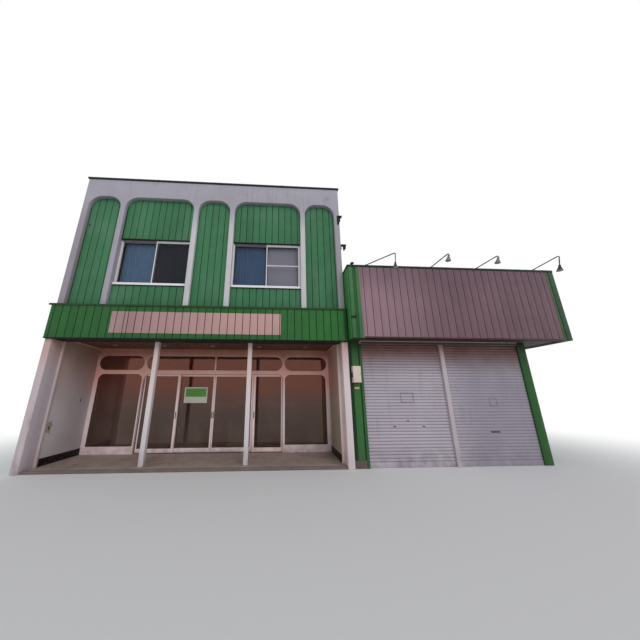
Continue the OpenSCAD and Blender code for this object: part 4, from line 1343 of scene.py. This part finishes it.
@dataclass
class Canopy(Kit):
    """The band over the porch: siding, bare sign panel, cap and drip edge."""

    half: float = 3.5
    low: float = 2.815
    high: float = 3.613
    face: float = -0.095
    pitch: float = 0.1786
    sheet_joint: float = -1.716
    right_seam: float = -1.548
    panel_low: float = 2.955
    panel_high: float = 3.485
    screws: int = 18
    screw_step: float = 0.405

    def sheets(self, name: str, left: Point, right: float, z0: float, z1: float, depth: float, seed: int,
            finish: Finish) -> list[Piece]:
        """Lays the sheets on either side of the joint.

        Args:
            name: the fields' name.
            left: left end and first seam of the left sheet.
            right: right end of the right sheet.
            z0: foot.
            z1: top.
            depth: depth of the boards.
            seed: seed of the left sheet.
            finish: their finish.

        Returns:
            The two fields.
        """
        fields = []
        for x0, x1, seam in ((left[0], self.sheet_joint, left[1]), (self.sheet_joint, right, self.right_seam)):
            row = Boards(x1 - x0, z1 - z0, self.pitch, depth, seam=0.015, first=first_seam(seam, x0, self.pitch),
                seed=seed + len(fields))
            fields.append(row.make(name, finish, facing(Side.FRONT, (x0, self.face, z0))))
        return fields

    def build(self) -> None:
        """Builds the canopy."""
        half, low, high, face = self.half, self.low, self.high, self.face
        self.soften("canopy_fascia", Look.seam_dark, 0.003)
        fields = self.sheets("canopy_boards", (-half, -3.408), half - 0.06, low, high, 0.010, 41, Look.canopy_siding)
        fields.append(Boards(0.19, high - low, 0.095, depth=0.010, seed=42).make(
            "canopy_end", Look.canopy_siding, facing(Side.LEFT, (-half, 0.10, low))))
        self.hang(joined("canopy_siding", fields), slot="canopy_fascia")
        panel = self.sheets("sign_boards", (-2.11, -1.984), 1.88, self.panel_low, self.panel_high, 0.0125, 45,
            Look.pink_siding)
        self.hang(joined("sign_boards", panel), "sign_panel")
        self.soften("canopy_flashing", Look.flashing, 0.003)
        self.fit("canopy_drip_edge", Look.seam_dark, 0.003,
            ((-half, face - 0.013, low), (half - 0.001, face + 0.01, low + 0.022)))
        bm = bmesh.new()
        bmesh.ops.create_cone(bm, cap_ends=True, segments=10, radius1=0.006, radius2=0.004, depth=0.004,
            matrix=Matrix.Translation((-3.45, -0.121, 3.632)) @ Matrix.Rotation(math.pi / 2, 4, "X"))
        screw = blank("flashing_screws", bm, Look.steel)
        self.hang(repeated(screw, self.screws, (self.screw_step, 0, 0), Look.steel))


@dataclass
class Porch(Kit):
    """The open porch: slab, linings, ceiling, posts, pilasters and skirting."""

    inner: float = 3.315
    outer: float = 3.3515
    back: float = 1.265
    front: float = 0.225
    floor: float = 0.05
    ceiling: float = 2.88
    sheet: float = 0.006
    skirting_top: float = 0.165
    tile_pitch: float = 0.0825
    post_x: float = 1.12
    lights: int = 5
    light_step: float = 1.29
    patch_edge: Sequence[Point] = (
        (0.261, 0.78), (0.288, 0.735), (0.326, 0.742), (0.358, 0.70), (0.378, 0.77), (0.367, 0.83), (0.391, 0.88),
        (0.371, 0.955), (0.336, 0.985), (0.308, 0.95), (0.288, 0.965), (0.269, 0.90), (0.278, 0.85))

    def beside(self, side: int, depth: float, y: Point, z: Point, wall: float | None = None) -> Span:
        """Gives a block against the left (-1) or right (1) side wall from its depth, its Y and its Z."""
        x0, x1 = sorted((side * (wall or self.inner), side * (self.inner - depth)))
        return (x0, y[0], z[0]), (x1, y[1], z[1])

    def linings(self) -> None:
        """Lines the porch's side walls with sheets, the left one peeled and holed."""
        y, z, top = self.front, self.floor, self.ceiling
        for side, name, finish in ((-1, "left", Look.left_lining), (1, "right", Look.right_lining)):
            self.fit("porch_lining_" + name, finish, 0.0008, self.beside(
                side, self.sheet, (y + 0.035, self.back - 0.001), (z + self.skirting_top, top)),
                slot=name + "_side_wall")
            self.fit("porch_trim_" + name, Look.trim_paint, 0.002,
                self.beside(side, 0.014, (y - 0.008, y + 0.034), (z, top), self.outer),
                self.beside(side, 0.014, (y + 0.034, self.back), (top - 0.03, top)))
            # A near-black strip stands in for the shadow gap between trim and lining: painted shade.
            self.fit("porch_lining_shadow_gap_" + name, Look.hole_dark, 0.0,
                self.beside(side, 0.0064, (y + 0.034, y + 0.042), (z + 0.166, top - 0.031)))
        x = -self.inner + self.sheet
        bm = bmesh.new()
        sweep(bm, [[bm.verts.new((x + out, y, z)) for y, z in self.patch_edge] for out in (-0.001, 0.0012)], True)
        self.hang(blank("peeled_patch", bm, Look.peeled_lining))
        self.fit("wall_holes", Look.hole_dark, 0.004, ((x - 0.003, 0.312, 0.80), (x + 0.0022, 0.340, 0.875)),
            ((x - 0.003, 0.975, 1.385), (x + 0.0022, 0.998, 1.475)))

    def skirting(self) -> None:
        """Sets the skirting tiles."""
        pieces = []
        for side, x, y in ((Side.RIGHT, -self.inner, self.front), (Side.LEFT, self.inner, self.back)):
            for row in range(2):
                field = Boards(self.back - self.front, height=0.0775, pitch=0.104, depth=0.012, seam=0.004,
                    first=-0.05 * row, ease=0.0015, uneven=0.0002, seed=51 + row)
                lift = Matrix.Translation((0, 0, self.tile_pitch * row + 0.002))
                pieces.append(field.make("tiles", Look.skirting, facing(side, (x, y, self.floor)) @ lift))
        self.hang(joined("porch_skirting_tiles", pieces), "porch_skirting")
        self.fit("porch_skirting_grout", Look.grout, 0.0, *(self.beside(
            side, 0.0095, (self.front, self.back - 0.001), (self.floor, self.floor + self.skirting_top))
            for side in (-1, 1)))

    def overhead(self) -> None:
        """Boards the ceiling and sets the round lights."""
        lo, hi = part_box("porch_soffit")
        self.dress("porch_soffit", Look.ceiling)
        row = Boards(hi.x - lo.x, hi.y - lo.y, 0.303, depth=0.006, seam=0.006, ease=0.002, seed=61)
        place = Matrix(((-1, 0, 0, hi.x), (0, 0, 1, lo.y), (0, 1, 0, lo.z), (0, 0, 0, 1)))
        self.hang(row.make("ceiling_boards", Look.ceiling, place), slot="porch_soffit")
        self.soften("downlights", Look.light_plastic, 0.001)
        bm = bmesh.new()
        bmesh.ops.create_uvsphere(bm, u_segments=20, v_segments=10, radius=0.034,
            matrix=Matrix.Translation((-2.58, 0.83, 2.873)) @ Matrix.Diagonal((1, 1, 0.4, 1)))
        lens = blank("downlight_lenses", bm, Look.lens)
        self.hang(repeated(lens, self.lights, (self.light_step, 0, 0), Look.lens))

    def build(self) -> None:
        """Builds the porch."""
        self.soften("shop_floor", Look.slab, 0.008)
        self.soften("porch_posts", Look.post_paint, 0.005)
        self.soften("porch_pilasters", Look.pilaster_mortar, 0.006)
        self.linings()
        self.skirting()
        self.overhead()
        self.fit("post_shoes", Look.slab, 0.003, *(
            ((x - 0.056, 0.159, self.floor), (x + 0.056, 0.271, self.floor + 0.012))
            for x in (-self.post_x, self.post_x)))


@dataclass
class Shopfront(Kit):
    """The glazed front with its doors."""

    plate: float = 1.265
    light_low: float = 0.24
    light_high: float = 2.14
    transom_low: float = 2.257
    transom_high: float = 2.659
    doorway_half: float = 1.9495
    doorway_low: float = 0.0655
    doorway_high: float = 2.1495
    doorway_radius: float = 0.1495
    brush: float = 0.010

    def build(self) -> None:
        """Builds the fixed frame and its gaskets."""
        for node in ("shopfront_left_bay", "shopfront_right_bay", "shopfront_head"):
            self.soften(node, Look.shopfront, 0.0025)
        self.dress("shopfront_glass", Look.shop_glass)
        self.soften("door_sill", Look.sill_metal, 0.0015)
        bm = bmesh.new()
        low, high = self.transom_low, self.transom_high
        for side in (-1, 1):
            for x0, x1, z0, z1, top, foot in ((2.02, 3.205, self.light_low, self.light_high, 0.15, 0.0),
                    (2.01, 3.24, low, high, 0.2005, 0.2005),
                    (0.0225, 1.94, low, high, 0.007, 0.007)):
                gasket(bm, (*sorted((side * x0, side * x1)), z0, z1), top, foot, self.plate + 0.0149)
        self.hang(blank("shopfront_gaskets", bm, Look.rubber))
        self.fit("doorway_jamb_strip", Look.jamb_shade, 0.0,
            ((-1.986, self.plate - 0.0006, 0.066), (-1.951, self.plate + 0.001, 2.0)))
        # A dark seal round the doorway, which also stands in for its shadow line as painted shade.
        bm = bmesh.new()
        half, high, radius = self.doorway_half, self.doorway_high, self.doorway_radius
        outer = outline(-half, half, self.doorway_low, high, radius)
        half, high, radius = half - self.brush, high - self.brush, radius - self.brush
        ring(bm, outer, outline(-half, half, self.doorway_low + 0.0005, high, radius), self.plate + 0.0008,
            self.plate + 0.0142)
        self.hang(blank("doorway_seal_and_shadow_ring", bm, Look.rubber))


@dataclass
class Door(Kit):
    """One sliding leaf with its gasket and pull."""

    leaf: str
    stile: float = 0.065
    pull_on_left: bool = False
    pull_half: float = 0.0125
    pull_zs: Point = (0.93, 1.11)
    recess_zs: Point = (0.945, 1.095)

    @property
    def body(self) -> str:
        """Names the leaf's body."""
        return self.leaf + "_leaf"

    def build(self) -> None:
        """Builds the leaf's pieces."""
        name = self.leaf + "_door"
        lo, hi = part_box(name)
        self.soften(name, Look.door_paint, 0.002)
        self.dress(self.leaf + "_glass", Look.shop_glass)
        bm = bmesh.new()
        near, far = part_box(self.leaf + "_glass")
        for y in (near.y - 0.0002, far.y + 0.0042):
            gasket(bm, (near.x, far.x, near.z, far.z), 0.0, 0.0, y, 0.005)
        self.hang(blank(name + "_gasket", bm, Look.rubber))
        mid = lo.x + self.stile / 2 if self.pull_on_left else hi.x - self.stile / 2
        half, y = self.pull_half, lo.y
        z0, z1 = self.pull_zs
        self.fit(name + "_pull", Look.steel, 0.001, ((mid - half, y - 0.0022, z0), (mid + half, y + 0.002, z1)))
        half -= 0.005
        z0, z1 = self.recess_zs
        self.fit(name + "_pull_recess", Look.rubber, 0.0004,
            ((mid - half, y - 0.0026, z0), (mid + half, y - 0.0015, z1)))


@dataclass
class Notice(Kit):
    """A bare sheet taped inside its border on the inner left door."""

    body: str = "inner_left_leaf"
    left: float = -0.83
    right: float = -0.19
    low: float = 1.345
    high: float = 1.78
    border: float = 0.035
    green_foot: float = 0.17
    pale_foot: float = 0.05
    pale_top: float = 0.15

    def build(self) -> None:
        """Builds the sheet with its green field and the pale one below it."""
        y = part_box("inner_left_glass")[0].y
        x0, x1, z0 = self.left, self.right, self.low
        self.fit("notice_sheet", Look.notice_paper, 0.0004, ((x0, y - 0.0018, z0), (x1, y - 0.0003, self.high)))
        x0, x1 = x0 + self.border, x1 - self.border
        self.fit("notice_green_field", Look.notice_green, 0.0002,
            ((x0, y - 0.0024, z0 + self.green_foot), (x1, y - 0.0017, self.high - self.border)))
        self.fit("notice_pale_field", Look.notice_paper, 0.0002,
            ((x0, y - 0.0023, z0 + self.pale_foot), (x1, y - 0.0017, z0 + self.pale_top)))


@dataclass
class Shutters(Kit):
    """Two roller curtains of slats with hatches, bottom bars, pulls and a lock."""

    low: float = 0.114
    high: float = 2.774
    pitch: float = 0.07
    face: float = 0.040
    bow: float = 0.0055
    curtains: Sequence[Point] = ((3.846, 5.8215), (5.9235, 7.899))
    hatches: Sequence[Row] = ((4.72, 5.03, 1.39, 1.61), (6.90, 7.08, 1.30, 1.49))
    hatch_rim: float = 0.012

    def slat(self, x0: float, x1: float) -> Piece:
        """Makes one bowed slat with its hooked joint.

        Args:
            x0: left end.
            x1: right end.

        Returns:
            The slat, at the foot of the curtain.
        """
        face, p = self.face, self.pitch
        profile = [(face + 0.011, 0.0), (face + 0.004, 0.002), (face + 0.0035, 0.008)]
        profile += [(face + 0.0035 - self.bow * math.sin(math.pi * a), 0.010 + (p - 0.020) * a)
            for a in (i / 8 for i in range(9))]
        profile += [(face + 0.0035, p - 0.008), (face + 0.0085, p - 0.004), (face + 0.011, p), (face + 0.014, p),
            (face + 0.014, 0.0)]
        bm = bmesh.new()
        sweep(bm, [[bm.verts.new((x, y, self.low + z)) for y, z in profile] for x in (x0, x1)], True)
        return blank("slat", bm, Look.shutter, 50.0)

    def build(self) -> None:
        """Builds the curtains and their fittings."""
        count = round((self.high - self.low) / self.pitch)
        parts = []
        for seed, (x0, x1) in enumerate(self.curtains, 71):
            parts += [repeated(self.slat(x0, x1), count, (0, 0, self.pitch), Look.shutter, seed),
                blocks("bottom_bar", [((x0, 0.036, 0.0), (x1, 0.066, self.low))], Look.shutter, 0.004)]
        self.hang(joined("shutter_curtains", parts), "roller_shutters")
        y0, y1, rim = self.face - 0.0035, self.face + 0.0025, self.hatch_rim
        self.fit("shutter_hatches", Look.hatch_grey, 0.0015, *(
            ((a, y0, c), (b, y1, d)) for x0, x1, z0, z1 in self.hatches for a, b, c, d in (
                (x0, x1, z0, z0 + rim), (x0, x1, z1 - rim, z1), (x0, x0 + rim, z0, z1), (x1 - rim, x1, z0, z1))))
        self.fit("shutter_slots_and_lock", Look.lamp_metal, 0.002, *(
            ((x0, y0 - out, z0), (x1, y1, z1)) for x0, x1, z0, z1, out in (
                (6.79, 7.01, 0.705, 0.735, 0.002), (4.815, 4.845, 0.965, 0.995, 0.002),
                (4.47, 4.53, 0.84, 0.862, 0.004), (5.16, 5.22, 0.84, 0.862, 0.004))))


@dataclass
class Annex(Kit):
    """The single-storey block: posts, walls, fascia, eaves, coping and roof."""

    left: float = 3.53
    right: float = 9.01
    front: float = -0.30
    low: float = 2.857
    high: float = 4.707
    rear: float = 5.5
    pitch: float = 0.1834
    side_x: float = 8.11
    roof_z: float = 3.22
    lintel_top: float = 2.8715
    panel_foot: float = 0.165
    rib_ys: Row = (-0.30, -0.16, -0.02, 0.12, 0.26, 0.40, 0.56)
    roof_seams: int = 13
    roof_seam_step: float = 0.435

    def fascia(self) -> None:
        """Sides the deep fascia and its green ends."""
        x, y, z0, z1 = self.left, self.front, self.low, self.high
        far = self.right
        rows = [Boards(5.0, z1 - z0, self.pitch, depth=0.010, seam=0.0125, first=-0.1054, seed=81).make(
            "front_boards", Look.mauve_siding, facing(Side.FRONT, (x + 0.30, y, z0)))]
        rows.append(Boards(self.rear - y - 0.36, z1 - z0, self.pitch, depth=0.010, seam=0.0125, seed=82).make(
            "side_boards", Look.mauve_siding, facing(Side.RIGHT, (far, y + 0.18, z0))))
        self.hang(joined("fascia_siding", rows), slot="annex_fascia")
        side = [((x - 0.006, y + 0.001, z0), (x, 0.0, z1))]
        side += [((x - 0.012, at, z0 if at < 0 else self.roof_z), (x, at + 0.03, z1)) for at in self.rib_ys]
        # The ribs take lighter greens as painted highlight, and the groove a dark strip as painted shade.
        for name, finish, ease, spans in (
                ("left_ribs", Look.end_light, 0.004, [((x + 0.022, y - 0.012, z0), (x + 0.11, y, z1)),
                        ((x + 0.192, y - 0.012, z0), (x + 0.270, y, z1))]),
                ("left_trim", Look.end_pale, 0.003, [((x + 0.272, y - 0.013, z0), (x + 0.302, y, z1))]),
                ("left_side_ribs", Look.end_side, 0.003, side),
                ("right_cover", Look.end_grey, 0.003, [
                    ((far - 0.18, y - 0.0098, z0), (far + 0.010, y - 0.0003, z1)),
                    ((far, y - 0.0095, z0), (far + 0.010, y + 0.18, z1))]),
                ("right_rib", Look.end_olive, 0.003, [((far - 0.212, y - 0.0125, z0), (far - 0.152, y - 0.001, z1))]),
                ("right_groove_shade", Look.gap_dark, 0.0, [
                    ((far - 0.150, y - 0.0108, z0), (far - 0.118, y - 0.0097, z1))])):
            self.fit("fascia_" + name, finish, ease, *spans, slot="annex_fascia_ends")
        self.dress("annex_fascia", Look.fascia_backing)
        self.soften("annex_fascia_ends", Look.end_dark, 0.004)
        self.fit("fascia_lower_trim", Look.red_trim, 0.003,
            ((x + 0.30, y - 0.013, z0), (far - 0.18, y - 0.004, z0 + 0.035)),
            ((far + 0.004, y + 0.18, z0), (far + 0.013, self.rear - 0.18, z0 + 0.035)))

    def shell(self) -> None:
        """Finishes the walls, posts, eaves, coping and roof."""
        for node in ("annex_side_wall", "annex_rear_wall"):
            self.dress(node, Look.annex_walls)
        self.dress("annex_roof", Look.roof_sheet)
        for node, finish, ease in (
                ("annex_floor", Look.annex_slab, 0.005), ("annex_front_posts", Look.post_green, 0.004),
                ("shutter_surround", Look.guide_paint, 0.003), ("annex_coping", Look.coping, 0.004)):
            self.soften(node, finish, ease)
        self.dress("annex_soffit", Look.eave_boards)
        rows = [Boards(length, high, 0.155, seed=seed).make(name, Look.annex_green, facing(side, (self.side_x, y, 0.0)))
            for name, length, high, seed, side, y in (
                ("annex_side_boards", self.rear - 0.14, 2.87, 91, Side.RIGHT, 0.13),
                ("annex_rear_boards", 4.61, self.roof_z, 92, Side.REAR, self.rear))]
        self.hang(joined("annex_siding", rows), slot="annex_side_wall")
        seams = blocks("annex_roof_seams", [((3.64, self.rear - 5.3, 3.219), (3.665, self.rear - 0.005, 3.243))],
            Look.roof_sheet)
        step = (self.roof_seam_step, 0, 0)
        self.hang(repeated(seams, self.roof_seams, step, Look.roof_sheet, ease=0.005), slot="annex_roof")

    def front_sheets(self) -> None:
        """Sets the lintel's dark sheet of painted shade and its pale top trim, the eave's edge, and the left panel's
        sheet with dark strips of painted shade in its gaps.
        """
        foot, top = self.panel_foot, self.lintel_top
        for name, finish, ease, slot, spans in (
                ("lintel_shade_sheet", Look.lintel_brown, 0.002, None, [((3.846, 0.004, 2.786), (7.899, 0.0105, top))]),
                ("lintel_top_trim", Look.pale_trim, 0.002, None, [((3.832, -0.004, 2.846), (7.899, 0.0105, top))]),
                ("eave_edge", Look.edge_black, 0.002, None, [
                    ((8.73, -0.195, 2.8605), (8.908, self.rear - 0.05, 2.8668))]),
                ("left_panel_sheet", Look.panel_green, 0.0015, "annex_front_posts", [
                    ((3.600, 0.004, foot), (3.757, 0.0105, top))]),
                ("left_panel_shadow_gaps", Look.gap_dark, 0.0, "annex_front_posts", [
                    ((3.5005, 0.0088, foot), (3.599, 0.0105, top)), ((3.758, 0.0088, foot), (3.785, 0.0105, top))]),
                ("left_guide_cover", Look.guide_green, 0.0015, "annex_front_posts", [
                    ((3.785, -0.0065, 0.002), (3.8452, 0.0105, 2.784))])):
            self.fit(name, finish, ease, *spans, slot=slot)

    def eaves(self) -> None:
        """Boards the eaves from below."""
        lo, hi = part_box("annex_soffit")
        pieces = []
        for x0, x1, y1, finish in ((lo.x, 8.111, 0.01, Look.eave_brown), (8.112, hi.x, hi.y, Look.eave_boards)):
            row = Boards(y1 - lo.y, x1 - x0, 0.09, depth=0.005, seam=0.004, ease=0.0015, seed=95)
            turn = Matrix(((0, 0, 1, x0), (1, 0, 0, lo.y), (0, 1, 0, lo.z), (0, 0, 0, 1)))
            pieces.append(row.make("eave_boards", finish, turn))
        self.hang(joined("eave_boarding", pieces), slot="annex_soffit")

    def build(self) -> None:
        """Builds the annex."""
        self.fascia()
        self.shell()
        self.front_sheets()
        self.eaves()


@dataclass
class MeterBox(Kit):
    """The box on the left panel, with its lid, lock and clasp, and the bare label below it."""

    hinge_zs: Point = (1.89, 2.14)

    def build(self) -> None:
        """Builds the box."""
        self.soften("meter_box", Look.box_plastic, 0.008, segments=3)
        for name, finish, ease, spans in (
                ("meter_box_lid", Look.box_plastic, 0.004, [((3.573, -0.1145, 1.848), (3.747, -0.109, 2.213))]),
                ("meter_box_hinges", Look.box_plastic, 0.0015, [
                    ((3.569, -0.1165, z), (3.577, -0.111, z + 0.035)) for z in self.hinge_zs]),
                ("meter_box_lock", Look.steel, 0.002, [((3.727, -0.1168, 2.015), (3.741, -0.113, 2.045))]),
                # A thin dark plate under the box stands in for its shadow as painted shadow; the small block beside it
                # is the clasp.
                ("meter_box_shadow_and_clasp", Look.lamp_metal, 0.001, [
                    ((3.578, -0.104, 1.8335), (3.742, -0.002, 1.8385)),
                    ((3.548, -0.092, 1.955), (3.566, -0.05, 2.07))]),
                ("bare_label_plate", Look.label_olive, 0.001, [((3.607, -0.001, 1.675), (3.737, 0.0045, 1.762))]),
                ("bare_label_pale_band", Look.label_paper, 0.0003, [
                    ((3.620, -0.0018, 1.698), (3.726, -0.0005, 1.737))])):
            self.fit(name, finish, ease, *spans)


@dataclass
class SignLamps(Kit):
    """Four lamps over the fascia."""

    def build(self) -> None:
        """Builds the lamps."""
        self.soften("sign_lamps", Look.lamp_metal, 0.0015)


@dataclass
class Leftovers(Kit):
    """Brackets left on the shop's right front edge, hooks on the annex and a knob on the siding."""

    def build(self) -> None:
        """Builds the leftovers."""
        for name, finish, ease, spans in (
                ("leftover_brackets", Look.rusty, 0.003, [
                    ((3.43, -0.012, 6.24), (3.495, 0.0005, 6.52)), ((3.44, -0.020, 6.49), (3.575, 0.045, 6.53)),
                    ((3.505, 0.00, 6.36), (3.53, 0.045, 6.50)), ((3.505, 0.02, 5.46), (3.522, 0.09, 5.62)),
                    ((3.515, 0.03, 5.585), (3.66, 0.08, 5.63)), ((3.575, 0.035, 5.50), (3.648, 0.075, 5.59)),
                    ((3.58, 0.04, 5.45), (3.615, 0.07, 5.51))]),
                ("annex_hook", Look.hook_dark, 0.003, [
                    ((3.54, -0.335, 3.355), (3.66, -0.309, 3.382)), ((3.638, -0.335, 3.378), (3.66, -0.312, 3.412)),
                    ((3.575, -0.322, 3.340), (3.61, -0.309, 3.40))]),
                ("coping_cleat", Look.hook_dark, 0.004, [
                    ((3.60, -0.29, 4.769), (3.72, -0.22, 4.782)), ((3.63, -0.275, 4.778), (3.69, -0.235, 4.855)),
                    ((3.65, -0.275, 4.83), (3.72, -0.235, 4.872))]),
                ("siding_knob", Look.hook_dark, 0.004, [((-3.288, 0.074, 5.985), (-3.258, 0.0905, 6.025))])):
            self.fit(name, finish, ease, *spans)


def clear_start() -> None:
    """Removes the objects that Blender starts with."""
    for name in ("Cube", "Light", "Camera"):
        found = bpy.data.objects.get(name)
        if found is not None and "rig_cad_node" not in found:
            bpy.data.objects.remove(found)


def main() -> None:
    """Builds the sub-assemblies in order."""
    logging.basicConfig(level=logging.INFO, format="%(message)s")
    clear_start()
    slim = 0.038
    for part in (Studio(), ShopWalls(), FrontFrame(), UpperWindows(), Canopy(), Porch(), Shopfront(),
            Door("outer_left"), Door("inner_left", slim), Door("inner_right", slim, True),
            Door("outer_right", pull_on_left=True), Notice(), Shutters(), Annex(), MeterBox(), SignLamps(),
            Leftovers()):
        part.build()


if __name__ == "__main__":
    main()
